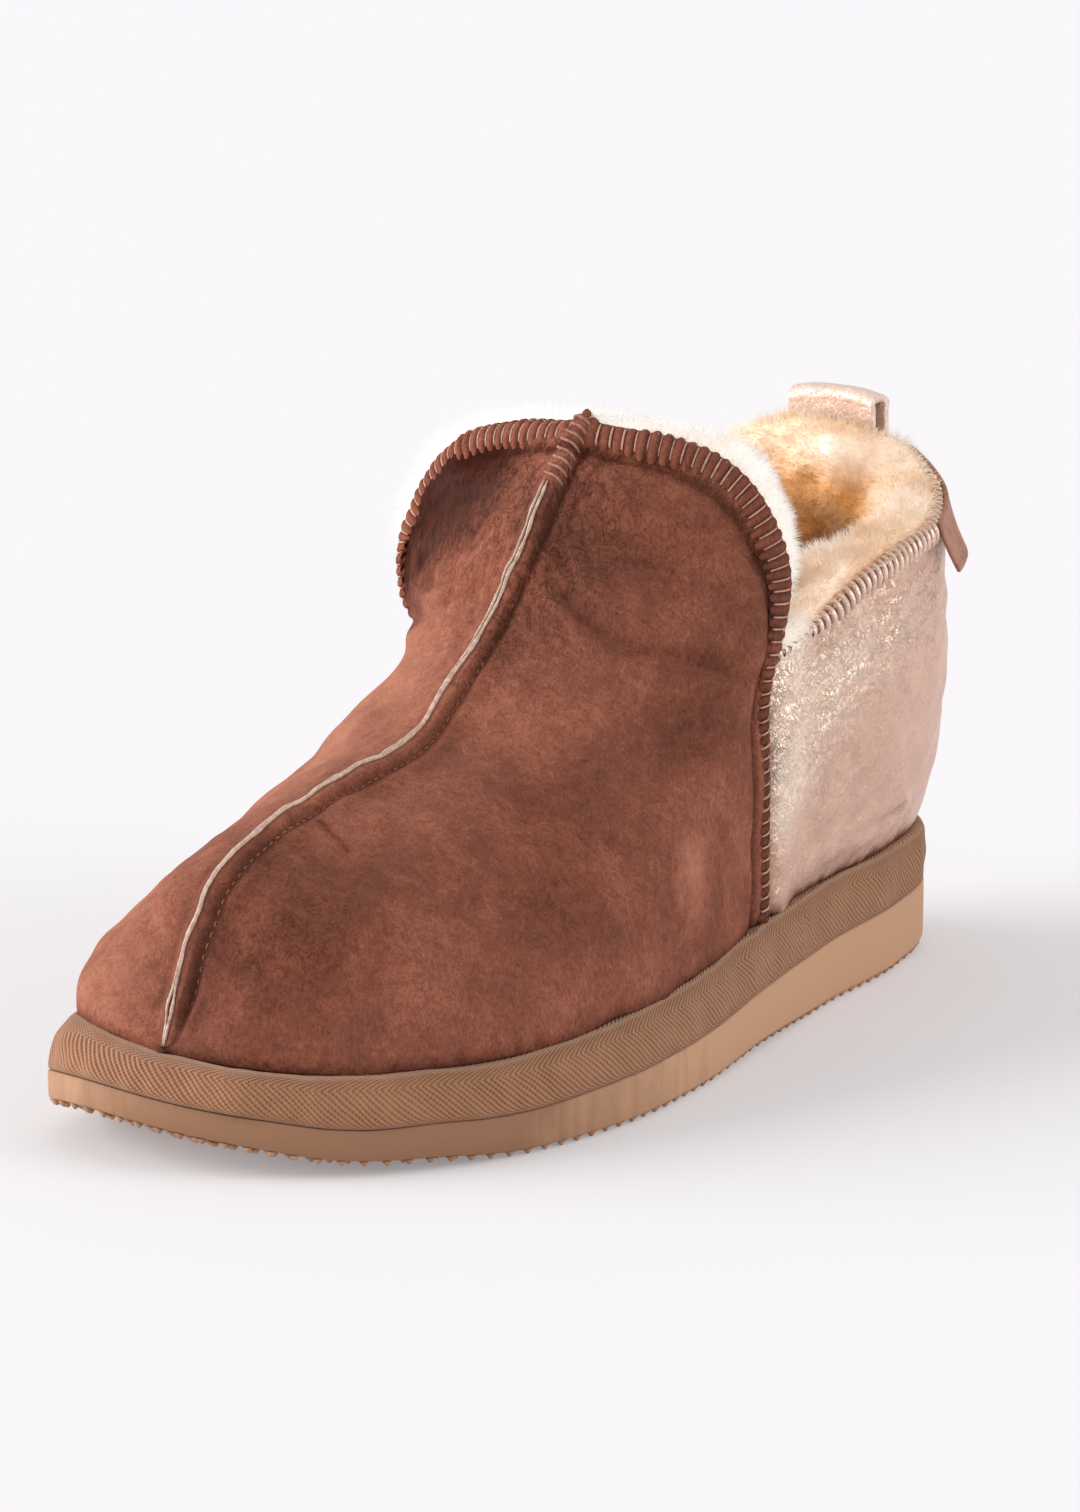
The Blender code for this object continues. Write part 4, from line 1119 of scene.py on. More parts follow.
welt = {  # closed section across the edge: back past the edge, out from the face
    "back": (-0.0068, -0.0056, -0.0036, -0.0016, 0.0002, 0.0010, 0.0007, -0.0010, -0.0034, -0.0056),
    "out": (-0.0005, 0.0006, 0.0011, 0.0010, 0.0001, -0.0013, -0.0028, -0.0036, -0.0034, -0.0024),
    "pitch": 0.0027,
    "step": 0.00036,
    "valley": 0.25,
    "slant": 0.0012,
    "thread": 0.00024,
    "peak": 0.0017,
    "peakReach": 0.0022,
    "slim": (0.062, 0.086),
    "least": 0.74,
}
collarWelt = {
    "back": (-0.0044, -0.0034, -0.0020, -0.0006, 0.0005, 0.0008, 0.0001, -0.0013, -0.0030),
    "out": (0.0002, 0.0009, 0.0012, 0.0008, -0.0001, -0.0012, -0.0023, -0.0026, -0.0021),
    "pitch": 0.0023,
    "step": 0.00032,
    "valley": 0.46,
    "slant": 0.0010,
    "thread": 0.00026,
    "slim": (0.0805, 0.0900),
    "least": 0.50,
}
wrap = {  # what both edges share: the thread's dent, sway and turns round the edge
    "tube": (6, 8),  # sides and cuts
    "seed": 7,
    "dent": 0.00055,
    "sway": 0.05,
    "settle": 0.0008,
    "slantTurn": 1.6,
    "overTurn": 0.72,
    "overDepth": 0.85,
    "jitter": 0.00010,
    "raised": 0.00010,
    "sunkEnds": -0.0006,
    "spread": (0.85, 1.1),
}


def squareTo(vectors, line):
    return unit(vectors - line * (vectors * line).sum(-1, keepdims=True))


def weltValues(slot, near, height):
    if slot == "suede":
        # painted shade in the dents between stitches and on the welt below the notch, and a little darker
        # all over
        return {"toneAndLight": -0.05 - 0.20 * bell(near, 0.0006) - 0.12 * fall(0.068, 0.090, height)[:, None]}
    # painted highlight on the beads' crests and painted shade in the dents between them
    paintedGlint = 0.75 - 0.75 * bell(near, 0.0007)
    return {"crackle": 0.2 + 0 * near, "paintedGlint": paintedGlint, "shadeAndSoil": 0.85 * bell(near, 0.00042)}


def buildWelt(name, threadName, sizes, rim, normal, before, material, thread, slot):
    arc = lengths(rim)
    at = np.linspace(0, arc[-1], int(arc[-1] / sizes["step"]))
    line = pickRows(at, arc, rim)
    tangent = unit(np.gradient(line, axis=0))
    back = squareTo(pickRows(at, arc, rim - before), tangent)
    out = squareTo(squareTo(unit(pickRows(at, arc, normal)), tangent), back)
    rows = len(sizes["back"])
    section = np.stack([sizes["back"], sizes["out"]], -1)
    middle = section.mean(0)
    pivot = np.array([section[:, 0].max(), middle[1]])
    around = np.arange(-2, rows + 3)

    def ringAt(turn):
        return smooth(around, section[around % rows], turn)

    def lead(turn):
        return sizes["slant"] * np.clip(turn / rows * wrap["slantTurn"], 0, 1)

    turn = np.linspace(0, rows, 2 * rows + 1)
    stitchAt = (at[:, None] - lead(turn)[None, :]) / sizes["pitch"]
    near = np.abs(stitchAt - np.round(stitchAt)) * sizes["pitch"]
    shrink = 1 - sizes["valley"] * bell(near, wrap["dent"])
    slim = sizes["least"] + (1 - sizes["least"]) * fade(*sizes["slim"], line[:, 2])
    wobble = slim * (1 + wrap["sway"] * softNoise(line, 0.012, 41))
    spots = pivot + (middle - pivot) * slim[:, None, None]
    spots = spots + (ringAt(turn) - middle)[None] * (shrink * wobble[:, None])[..., None]
    spots[..., 1] -= wrap["settle"] * (1 - slim)[:, None]
    points = line[:, None] + back[:, None] * spots[..., :1] + out[:, None] * spots[..., 1:]
    piece = gridPiece(name, points, weltValues(slot, near, line[:, 2]), joined=True, faceOut=True)
    dress(piece, material, slot, "upper")
    master = sweepMaster(*wrap["tube"])
    places = []
    draw = np.random.default_rng(wrap["seed"])
    path = np.linspace(0.0, wrap["overTurn"] * rows, 11)
    over = middle + (ringAt(path) - middle) * (1 - wrap["overDepth"] * sizes["valley"])
    sunk = np.full(len(path), wrap["raised"])
    sunk[[0, -1]] = wrap["sunkEnds"]
    for k in range(1, int(arc[-1] / sizes["pitch"])):
        spot = k * sizes["pitch"] + lead(path) + draw.normal(0, wrap["jitter"])
        spot = np.clip(spot, 0, arc[-1])
        size = float(np.interp(spot[0], at, slim))
        laid = pivot + (middle - pivot) * size + (over - middle) * size
        spine, backward, outward = (pickRows(spot, at, track) for track in (line, back, out))
        stitch = spine + backward * laid[:, :1] + outward * laid[:, 1:]
        way = unit(backward * (over - middle)[:, :1] + outward * (over - middle)[:, 1:])
        radius = sizes["thread"] * draw.uniform(*wrap["spread"])
        places.append(bendAlong(master, stitch + way * sunk[:, None], way, radius))
    threads = copiesPiece(threadName, master, places)
    dress(threads, thread, "thread")


rearRow = vampSheet["points"][-1].copy()
rearRow[:, 2] += welt["peak"] * bell(vampSheet["fromSeam"][-1], welt["peakReach"])
buildWelt("vampEdge", "vampEdgeStitches", welt, rearRow, vampSheet["normal"][-1], vampSheet["points"][-3],
          napSuede, plain["stitchThread"], "suede")
buildWelt("collarEdge", "collarEdgeStitches", collarWelt, quarterPoints[:, -1], quarterNormal[:, -1],
          quarterPoints[:, -3], foilLeather, plain["darkThread"], "metallic")

# Raised centre seam: two raw edges with a slit between them

seam = {
    "from": 0.02,
    "to": 11.1,
    "step": 0.0006,
    "wide": 0.00021,
    "tall": 0.00045,
    "apart": 0.00044,
    "shut": (0.42, 6.8, 9.2),  # part of the slit left below, and the hoops over which it opens
    "rise": 0.0004,
    "eye": (0.0085, 0.0030, 0.0005),  # where the edges part near the toe: distance along, reach, width
    "overcast": (11.05, 11.9, 8),
    "flange": (1.0, 8.4, 0.0022, 0.0033),  # first and last hoop, pitch and distance from the seam
    "sway": ((0.00014, 0.020, 51), (0.00005, 0.006, 52)),
    "overcastPath": (  # beside the seam, above the face, and hoops ahead
        (0.0026, -0.0003, 0.00), (0.0018, 0.0003, 0.03), (0.0007, 0.0004, 0.06),
        (-0.0006, 0.0004, 0.09), (-0.0016, 0.0003, 0.12), (-0.0022, -0.0003, 0.15),
    ),
    "tube": (6, 6),
    "overcastThread": 0.00032,
    "flangeSteps": 120,
    "flangeStitch": 0.0014,
    "flangeRise": (-0.0004, 0.0000, 0.0001, 0.0000, -0.0004),
    "flangeThread": 0.00017,
}


def buildSeam():
    middle = vamp["columns"]
    line = vampSheet["shaped"][:, middle]
    steps = np.linspace(0.0, lastHoop, vamp["hoops"])
    keep = (steps >= seam["from"]) & (steps <= seam["to"])
    arc = lengths(line[keep])
    at = np.linspace(0, arc[-1], int(arc[-1] / seam["step"]))
    path = pickRows(at, arc, line[keep])
    tangent = unit(np.gradient(path, axis=0))
    out = unit(pickRows(at, arc, vampSheet["normal"][keep, middle]))
    side = unit(np.cross(tangent, out))
    sway = lumps(path, seam["sway"])
    least, start, end = seam["shut"]
    parted = least + (1 - least) * fade(start, end, np.interp(at, arc, steps[keep]))
    part = seam["apart"] * parted * (1 + 0.16 * softNoise(path, 0.026, 53))
    part = part + seam["eye"][2] * bell(at - seam["eye"][0], seam["eye"][1])
    turn = np.linspace(0, 2 * np.pi, 13)
    squash = np.sign(np.cos(turn)) * np.abs(np.cos(turn)) ** 0.7
    ends = np.minimum(1, np.minimum(np.arange(len(at)), np.arange(len(at))[::-1]) / 4)[:, None]
    for name, sign in (("seamEdgeOuter", 1), ("seamEdgeInner", -1)):
        frayed = 0.16 * softNoise(path, 0.004, 54 + sign) + 0.07 * softNoise(path, 0.0016, 64 + sign)
        wide = seam["wide"] * (1 + frayed)[:, None]
        tall = seam["tall"] * (1 + 0.16 * softNoise(path, 0.007, 57 + sign) + 0.7 * frayed)[:, None]
        centre = path + side * (sway + sign * part)[:, None] + out * (seam["rise"] - seam["tall"] * 0.4)
        points = centre[:, None] + side[:, None] * (wide * ends * squash)[..., None]
        points = points + out[:, None] * (tall * ends * np.sin(turn))[..., None]
        piece = gridPiece(name, points, joined=True, faceOut=True)
        dress(piece, plain["rawEdge"], "wool")


buildSeam()


def seamSpot(t, distance, out=0.0):  # point on the shaped vamp beside the seam, outer side positive
    at = t / lastHoop * (vamp["hoops"] - 1)
    i = int(min(math.floor(at), vamp["hoops"] - 2))
    middle = vamp["columns"]
    columns = slice(middle, None, -1) if distance >= 0 else slice(middle, None)
    spots = []
    for k in (i, i + 1):
        gaps = vampSheet["fromSeam"][k, columns]
        rows = vampSheet["shaped"][k, columns], vampSheet["normal"][k, columns]
        spots.append([pickRows(abs(distance), gaps, row) for row in rows])
    mix = at - i
    way = unit(spots[0][1] * (1 - mix) + spots[1][1] * mix)
    return spots[0][0] * (1 - mix) + spots[1][0] * mix + way * out, way


def layThread(master, spots, radius):
    path = np.array([spot for spot, _ in spots])
    return bendAlong(master, path, np.array([way for _, way in spots]), radius)


def buildSeamStitches():
    master = sweepMaster(*seam["tube"])
    places = []
    low, high, count = seam["overcast"]
    for t in np.linspace(low, high, count):
        spots = [seamSpot(min(t + ahead, lastHoop), side, out) for side, out, ahead in seam["overcastPath"]]
        places.append(layThread(master, spots, seam["overcastThread"]))
    rows = []
    low, high, pitch, distance = seam["flange"]
    hoops = np.linspace(low, high, seam["flangeSteps"])
    arc = lengths(np.array([seamSpot(t, distance)[0] for t in hoops]))
    for start in np.arange(0, arc[-1] - pitch, pitch):
        steps = np.interp(start + np.linspace(0, seam["flangeStitch"], 5), arc, hoops)
        spots = [seamSpot(t, distance, out) for t, out in zip(steps, seam["flangeRise"])]
        rows.append(layThread(master, spots, seam["flangeThread"]))
    dress(copiesPiece("seamStitches", master, places), plain["seamThread"], "thread")
    dress(copiesPiece("flangeStitches", master, rows), plain["flangeThread"], "thread")


buildSeamStitches()

# Tape round the platform

tape = {
    "count": 720,
    "rise": (-0.03, 0.00, 0.10, 0.33, 0.58, 0.80, 0.93, 1.01, 1.05, 1.03),
    "lean": (0.10, 0.00, 0.01, 0.14, 0.34, 0.58, 0.74, 0.88, 1.04, 1.55),  # parts of the upper's inset
    "gape": 0.10,
    "gapeReach": (0.02, 0.07, 0.22, 0.34),
    "gapeRise": (0.7, 1.0),
    "lip": (0.25, 0.70, 0.80, 0.97),
    "flare": 0.85,
    "flareReach": (0.74, 0.90),
    "belly": 0.0005,
    "waves": ((0.00025, 0.014, 61), (0.00012, 0.005, 62)),
    "rows": 28,
}


def buildTape():
    level = np.linspace(0, 1, tape["rows"])
    knots = np.linspace(0, 1, len(tape["rise"]))
    rise = smooth(knots, tape["rise"], level)
    lean = smooth(knots, tape["lean"], level)
    rows = []
    for up, inward, lip in zip(rise, lean, band(*tape["lip"], level)):
        def depth(y, reach, side):
            gape = band(*tape["gapeReach"], reach) * fade(*tape["gapeRise"], up) * (side == lateral)
            part = inward - tape["gape"] * gape
            part = part - tape["flare"] * lip * fade(*tape["flareReach"], reach) * (side == lateral)
            level = np.clip(up, 0, 1)
            return layer("inset", y) * part - tape["belly"] * 4 * level * (1 - level)

        plan = roundSole(tape["count"], depth)
        y = plan[:, 1]
        z = outsoleTop(y) + shoe["gap"] + up * (layer("tape", y) - shoe["gap"])
        rows.append(withHeight(plan, z))
    points = np.array(rows)
    outward = points - np.array([0.0, 0.0, 0.02])
    outward[..., 2] = 0
    wave = lumps(points, tape["waves"])
    points = points + unit(outward) * (wave * fade(0.0, 0.2, level)[:, None])[..., None]
    points[:, -1] = points[:, 0]
    piece = gridPiece("soleTape", points, joined=True)
    closeEnds()
    around = lengths(points[tape["rows"] // 2])[-1]
    up = lengths(points[:, tape["count"] // 4])[-1]
    dress(piece, tapeMaterial(around, up), "tape", "midsole")


buildTape()

# Foam outsole with a nubbed tread

outsole = {
    "count": 640,
    "groove": 0.0010,
    "rows": (  # part of the height, inset
        (0.00, 0.0014), (0.02, 0.0005), (0.08, 0.0001), (0.50, 0.0000),
        (0.95, 0.0000), (0.985, 0.0002), (1.00, 0.0008),
    ),
    "paintedLightOuter": 0.34,
    "paintedShadeToe": 0.26,
    "nubPitch": 0.0052,
    "nubWidth": 0.0012,
    "nubSpread": (0.9, 1.05),
    "nubSeed": 3,
    "nubTall": 1.12,  # parts of the groove's depth
    "nubMiddle": 0.56,
    "nubInset": 0.0036,
    "edgePitch": 0.0046,
    "edgeInset": 0.0014,
}


def buildOutsole():
    rows = []
    for up, inward in outsole["rows"]:
        plan = roundSole(outsole["count"], lambda y, reach, side: np.full_like(y, inward))
        y = plan[:, 1]
        low = ground(y) + outsole["groove"]
        rows.append(withHeight(plan, low + up * (outsoleTop(y) - low)))
    points = np.array(rows)
    points[:, -1] = points[:, 0]
    x, y = points[..., 0], points[..., 1]
    # painted light on the outer side, painted shade on the front of the toe
    light = outsole["paintedLightOuter"] * fade(-0.060, 0.020, y) * fade(0.0, 0.02, x)
    dark = outsole["paintedShadeToe"] * fall(-0.085, -0.045, y) * fade(-0.022, -0.004, x)
    body = gridPiece("outsoleFoam", points, {"toneAndLight": light - dark}, joined=True)
    closeEnds()
    deselect()
    bpy.ops.mesh.primitive_cone_add(vertices=8, radius1=1.0, radius2=0.25, depth=1.0, end_fill_type="TRIFAN")
    master = masterMesh()
    spots = []
    pitch = outsole["nubPitch"]
    outer, inner = outlines[lateral][0], outlines[medial][0]
    for k, y in enumerate(np.arange(-shoe["length"] / 2 + 0.004, shoe["length"] / 2 - 0.003, pitch / 2)):
        right = np.interp(y, outer[:, 1], outer[:, 0]) - outsole["nubInset"]
        left = np.interp(y, inner[:, 1], inner[:, 0]) + outsole["nubInset"]
        for x in np.arange(-0.06 + (k % 2) * pitch / 2, 0.06, pitch):
            if left < x < right:
                spots.append((x, y))
    around = roundSole(outsole["count"], lambda y, reach, side: np.full_like(y, outsole["edgeInset"]))
    arc = lengths(around)
    spots.extend(atLength(around, np.arange(0, arc[-1] - 0.002, outsole["edgePitch"])).tolist())
    draw = np.random.default_rng(outsole["nubSeed"])
    places = []
    for x, y in spots:
        wide = outsole["nubWidth"] * draw.uniform(*outsole["nubSpread"])
        foot = np.array([x, y, float(ground(y)) + outsole["groove"] * outsole["nubMiddle"]])
        places.append(master[0] * np.array([wide, wide, -outsole["groove"] * outsole["nubTall"]]) + foot)
    flipped = [face[::-1] for face in master[1]]
    toneAndLight = np.zeros(len(places) * len(master[0]))
    nubs = copiesPiece("treadNubs", (master[0], flipped), places, {"toneAndLight": toneAndLight})
    dress(body, foamRubber, "foam", "outsole")
    dress(nubs, foamRubber, "foam", "outsole")


buildOutsole()

# Wool round the opening, inside the upper and on the footbed

fleece = {
    "depth": 0.062,
    "guides": {"steps": 40, "hoops": 60, "lastHoop": 6.5, "columns": 46, "quarter": (60, 40)},
    "section": (  # depth below the rim, distance in from the wall
        (0.0000, 0.0006), (-0.0018, 0.0010), (-0.0036, 0.0032), (-0.0044, 0.0064), (-0.0032, 0.0098),
        (0.0008, 0.0126), (0.0070, 0.0140), (0.0160, 0.0138), (0.0270, 0.0116), (0.0400, 0.0090),
        (0.0560, 0.0064),
    ),
    "tongueThin": 0.68,
    "overhang": (  # guide number, part of the section's
        (0, 6, 26, 45, 60, 84, 90),
        (1.0, 1.9, 1.9, 1.2, 1.2, 1.7, 1.0),
    ),
    "rows": 44,
    "fan": 9,
    "lump": 0.0021,
    "fineLump": 0.25,
    "strands": 64000,
    "quickPart": 6,
    "flow": 0.28,
    "scatter": 0.42,
    "strandLength": (0.0014, 0.0034),
    "strandRadius": 0.00010,
    "spill": 1.7,
    "fringe": 1.1,
    "notchRise": 0.0046,
    "notchOut": 0.0044,
    "notchTuck": 0.0055,
    "notchThin": 0.30,
    "notchShare": 6.0,  # strands at the notches against those elsewhere
    "loopRoom": 0.0036,
    "loopHalf": 0.0135,
    "golden": {  # how golden the wool is behind the tongue and below the rim, how it darkens deeper in as painted shade, and how it varies
        "collar": 0.37,
        "below": 0.42,
        "deep": 0.40,
        "paler": 0.05,
        "vary": 0.05,
        "notch": 0.85,
    },
}


def innerGuides():  # lines from the rim down the inner wall, in order round the opening
    fine = fleece["guides"]
    reach = np.linspace(0, fleece["depth"], fine["steps"])
    steps = np.linspace(lastHoop, fine["lastHoop"], fine["hoops"])
    groups = []
    for side in (lateral, medial):
        sheet, _ = hoopSheet(side, steps, np.linspace(notchShare(side), 1.0, fine["columns"]))
        inner = sheet - gridNormals(sheet, fromCentre(sheet)) * shoe["wall"]
        tongue = [atLength(inner[:, c], reach) for c in range(inner.shape[1])]
        points, normal = quarterSurface(side, *fine["quarter"])
        wall = points - normal * (shoe["wall"] - shoe["step"])
        heel = [atLength(line[::-1], reach) for line in wall]
        mix = np.linspace(0, 1, fleece["fan"])[1:-1]
        corner = [tongue[0] * (1 - m) + heel[0] * m for m in mix]
        groups.append((tongue, corner, heel))
    (tongueL, cornerL, heelL), (tongueM, cornerM, heelM) = groups
    lines = [*tongueL, *tongueM[-2::-1], *cornerM, *heelM, *heelL[-2::-1], *cornerL[::-1]]
    tongueCount = len(tongueL) + len(tongueM) - 1
    return np.array(lines), tongueCount, len(cornerM)


def fleeceInside(guides, lines, depth, tongueCount, fan):  # directions from the wall into the opening
    count = len(guides)
    down = np.array([atLength(guide, depth + 0.002) - atLength(guide, depth - 0.002) for guide in guides])
    wrapped = np.concatenate([lines[-2:], lines, lines[:2]])
    along = wrapped[4:] - wrapped[:-4]
    inside = unit(np.cross(along, down))
    middle = lines.mean(axis=(0, 1))
    inside = inside * np.sign((inside * (middle - lines)).sum(-1).mean())
    mix = np.linspace(0, 1, fan + 6)[1:-1, None, None]
    for first in (tongueCount - 3, count - fan - 3):  # across the corners from one wall to the other
        ends = inside[first], inside[(first + fan + 5) % count]
        inside[np.arange(first + 1, first + fan + 5) % count] = unit(ends[0] * (1 - mix) + ends[1] * mix)
    for _ in range(6):
        inside = unit(inside + 0.5 * (np.roll(inside, 1, 0) + np.roll(inside, -1, 0)))
    return inside


def fleeceSurface():
    golden = fleece["golden"]
    guides, tongueCount, fan = innerGuides()
    count = len(guides)
    table = np.array(fleece["section"])
    level = np.linspace(0, len(table) - 1, fleece["rows"])
    depth = smooth(np.arange(len(table)), table[:, 0], level)
    inward = smooth(np.arange(len(table)), table[:, 1], level)
    number, row = np.arange(count), np.arange(fleece["rows"])
    onTongue = number < tongueCount
    beyond = np.where(onTongue, np.interp(number, *fleece["overhang"]), 1.0)
    depths = np.where(depth < 0, depth * beyond[:, None], depth)
    lines = np.array([atLength(guide, at) for guide, at in zip(guides, depths)])
    inside = fleeceInside(guides, lines, depth, tongueCount, fan)
    corners = (tongueCount + fan / 2, count - fan / 2)
    near = np.min([np.abs((number - c + count / 2) % count - count / 2) for c in corners], axis=0)
    atNotch = fall(2, 16, near)
    notch = atNotch[:, None]
    half = fleece["loopHalf"]
    room = fleece["loopRoom"] * fall(half, half + 0.006, np.abs(guides[:, 0, 0]))
    room = room * (guides[:, 0, 1] > shoe["length"] / 4)
    fromTongue = np.abs(number - (tongueCount - 1) / 2) - (tongueCount - 1) / 2
    thin = fleece["tongueThin"] + (1 - fleece["tongueThin"]) * fade(0, 14, fromTongue)
    offset = inward[None, :] * (thin * (1 - fleece["notchThin"] * atNotch))[:, None] + room[:, None]
    turns = (0, tongueCount - 1, tongueCount + fan, count - fan - 1, count)
    tongueSide = np.interp(number, turns, (1, 1, 0, 0, 1))[:, None]
    tucked = np.maximum(tongueSide, fade(0.001, 0.008, depth)[None, :])
    offset = offset + fleece["notchTuck"] * notch * tucked
    points = lines + inside * offset[..., None]
    lump = softNoise(points, 0.021, 71) * fleece["lump"]
    lump = lump + softNoise(points, 0.009, 72) * fleece["lump"] * fleece["fineLump"]
    points = points + inside * (lump * fade(0.5, 3, level)[None, :])[..., None]
    gold = golden["collar"] * fade(-2, 14, fromTongue)[:, None]
    gold = gold + golden["below"] * fade(-0.003, 0.012, depth)[None, :] - golden["paler"]
    # painted shade: darker deeper inside the opening
    gold = gold + golden["deep"] * fade(0.012, 0.036, depth)[None, :]
    gold = gold + golden["vary"] * softNoise(points, 0.018, 73)
    high = fall(4, 20, row)[None, :]
    gold = gold * (1 - golden["notch"] * notch * high)
    spill = (1 - tongueSide) * notch * fall(3, 12, row)[None, :]
    points = points + np.array([0, 0, fleece["notchRise"]]) * spill[..., None]
    points = points - inside * (fleece["notchOut"] * spill)[..., None]
    medialRim = fade(54, 68, number) * onTongue
    stray = inside * -(0.55 + fleece["fringe"] * medialRim)[:, None, None] + np.array([0.0, 0.0, 0.35])
    rim = fall(2.0, 9.0, row)[None, :] * (0.45 + 0.45 * onTongue)[:, None]
    wild = np.maximum(rim, fleece["spill"] * notch * fall(4, 16, row)[None, :])
    share = 1 + (fleece["notchShare"] - 1) * notch * high
    return points, inside, gold, depth, tongueCount, stray * wild[..., None], share


def strandMaster():
    deselect()
    bpy.ops.mesh.primitive_cone_add(
        vertices=3, radius1=1, radius2=0, depth=1, location=(0, 0, 0.5), end_fill_type="NOTHING"
    )
    bpy.ops.object.transform_apply(location=True, rotation=False, scale=False)
    return masterMesh()


def strandPiece(name, points, normal, gold, weight, stray, count, seed):
    draw = np.random.default_rng(seed)
    a, b, c, d = points[:-1, :-1], points[1:, :-1], points[1:, 1:], points[:-1, 1:]
    area = np.linalg.norm(np.cross(c - a, d - b), axis=-1) * (weight[:-1, :-1] + weight[1:, 1:])
    chance = np.cumsum(area.ravel())
    cell = np.searchsorted(chance, draw.uniform(0, chance[-1], count))
    i, j = np.unravel_index(np.clip(cell, 0, area.size - 1), area.shape)
    u = draw.uniform(0, 1, count)[:, None]
    v = draw.uniform(0, 1, count)[:, None]

    def blend(rows):
        rows = rows if rows.ndim == 3 else rows[..., None]
        near = rows[i, j] * (1 - u) + rows[i + 1, j] * u
        return near * (1 - v) + (rows[i, j + 1] * (1 - u) + rows[i + 1, j + 1] * u) * v

    root = blend(points)
    way = unit(blend(normal))
    tone = blend(gold)[:, 0]
    wild = blend(stray)
    flow = np.stack([lumps(root, ((1, 0.011, 111 + k), (0.8, 0.004, 121 + k))) for k in range(3)], -1)
    lean = unit(way + wild + fleece["flow"] * flow + fleece["scatter"] * draw.normal(size=(count, 3)))
    reach = draw.uniform(*fleece["strandLength"], count)[:, None]
    reach = reach * (1 + 0.8 * np.linalg.norm(wild, axis=-1, keepdims=True))
    tip = root + lean * reach
    master = strandMaster()
    z = master[0][:, 2][None, :, None]
    curve = (root - way * 0.0006)[:, None] * (1 - z) + tip[:, None] * z
    side = unit(np.cross(tip - root, draw.normal(size=(count, 3))))
    other = unit(np.cross(tip - root, side))
    thick = fleece["strandRadius"] * draw.uniform(0.7, 1.3, count)[:, None, None]
    ring = master[0][None, :, :1] * side[:, None] + master[0][None, :, 1:2] * other[:, None]
    places = curve + thick * ring
    shade = tone[:, None] + 0.05 * draw.normal(size=(count, 1)) + 0.09 * (0.4 - master[0][None, :, 2])
    return copiesPiece(name, master, list(places), {"gold": np.clip(shade, 0, 1.2)})


def closeRound(rows):
    return np.concatenate([rows, rows[:1]])


def buildFleece():
    points, inside, gold, depth, tongueCount, stray, share = fleeceSurface()
    points, inside, gold, stray, share = map(closeRound, (points, inside, gold, stray, share))
    body = gridPiece("woolLining", points, {"gold": gold}, joined=True, faceOut=True)
    dress(body, woolPile, "wool", "fleece_collar")
    normal = gridNormals(points, inside)
    shown = (1 - 0.92 * fade(0.020, 0.036, depth))[None, :] * share
    strands = fleece["strands"] // 1
    parts = (("woolTongue", slice(tongueCount + 1), 81), ("woolCollar", slice(tongueCount, None), 82))
    for name, keep, seed in parts:
        sheets = [rows[keep] for rows in (points, normal, gold, shown, stray)]
        piece = strandPiece(name, *sheets, strands, seed)
        dress(piece, woolPile, "wool", "fleece_collar")


buildFleece()

lining = {
    "hoops": (1.2, 11.4),
    "across": 0.0058,
    "lump": 0.0007,
    "lumps": ((1, 0.012, 95), (0.5, 0.005, 96)),
    # past 0.6 the wool darkens toward its shade colour: painted shade on the linings deep inside
    "gold": 1.02,
    "rows": 56,
    "columns": 44,
}


def liningPiece(name, points, normal):
    lump = lining["lump"] * lumps(points, lining["lumps"])
    points = points - normal * (lining["across"] + lump)[..., None]
    piece = gridPiece(name, points, {"gold": np.full(points.shape[:2], lining["gold"])}, joined=True)
    dress(piece, woolPile, "wool", "fleece_collar")


def buildLining():
    steps = np.linspace(*lining["hoops"], lining["rows"])
    share = np.linspace(0.02, 1.0, lining["columns"])
    points = bothSides(*(hoopSheet(side, steps, share)[0] for side in (lateral, medial)))
    liningPiece("vampLining", points, gridNormals(points, fromCentre(points)))
    points, normal = wholeQuarter(lining["columns"], lining["rows"] // 2)
    liningPiece("quarterLining", points[2:-2, :-3], normal[2:-2, :-3])


buildLining()

footbed = {
    "count": 160,
    "rows": ((0.0, 0.0010), (0.4, 0.0), (0.8, 0.0010), (1.0, 0.0040)),  # part of the thickness, inset
    "thick": 0.0060,
    "room": 0.0012,
    "toeRoom": 0.0060,
    "lump": 0.0005,
    "lumps": ((1, 0.012, 91), (0.6, 0.005, 92)),
    "gold": 0.35,
}


def buildFootbed():
    def clearance(y):
        toe = fade(0.80, 0.97, stationOf(y)) * footbed["toeRoom"]
        return layer("inset", y) + shoe["wall"] + footbed["room"] + toe

    rows = []
    for up, inward in footbed["rows"]:
        plan = roundSole(footbed["count"], lambda y, reach, side: clearance(y) + inward)
        z = featherHeight(plan[:, 1]) + shoe["gap"] + up * footbed["thick"]
        rows.append(withHeight(plan, z))
    for part in np.linspace(0.9, 0.05, 16):
        ring = rows[3].copy()
        ring[:, 0] = ring[:, 0] * part - 0.002 * (1 - part)
        ring[:, 2] = featherHeight(ring[:, 1]) + shoe["gap"] + footbed["thick"]
        ring[:, 2] += footbed["lump"] * lumps(ring, footbed["lumps"])
        rows.append(ring)
    points = np.array(rows)
    points[:, -1] = points[:, 0]
    gold = footbed["gold"] + 0.1 * softNoise(points, 0.03, 93)
    piece = gridPiece("footbed", points, {"gold": gold}, joined=True)
    closeEnds()
    dress(piece, woolPile, "insole_wool", "insole")


buildFootbed()

# Pull loop and label tab

loop = {
    "width": 0.023,
    "thick": 0.0016,
    "rise": 0.0085,
    "outerLeg": 0.010,
    "innerLeg": 0.006,
    "belly": 0.0010,
    "seat": 0.0006,
    "grid": (60, 40),
    "columns": 30,
    "arc": 22,
    "bevel": 0.0003,
    "crackle": 0.25,
    # painted highlight all over the loop
    "paintedGlint": 0.60,
}


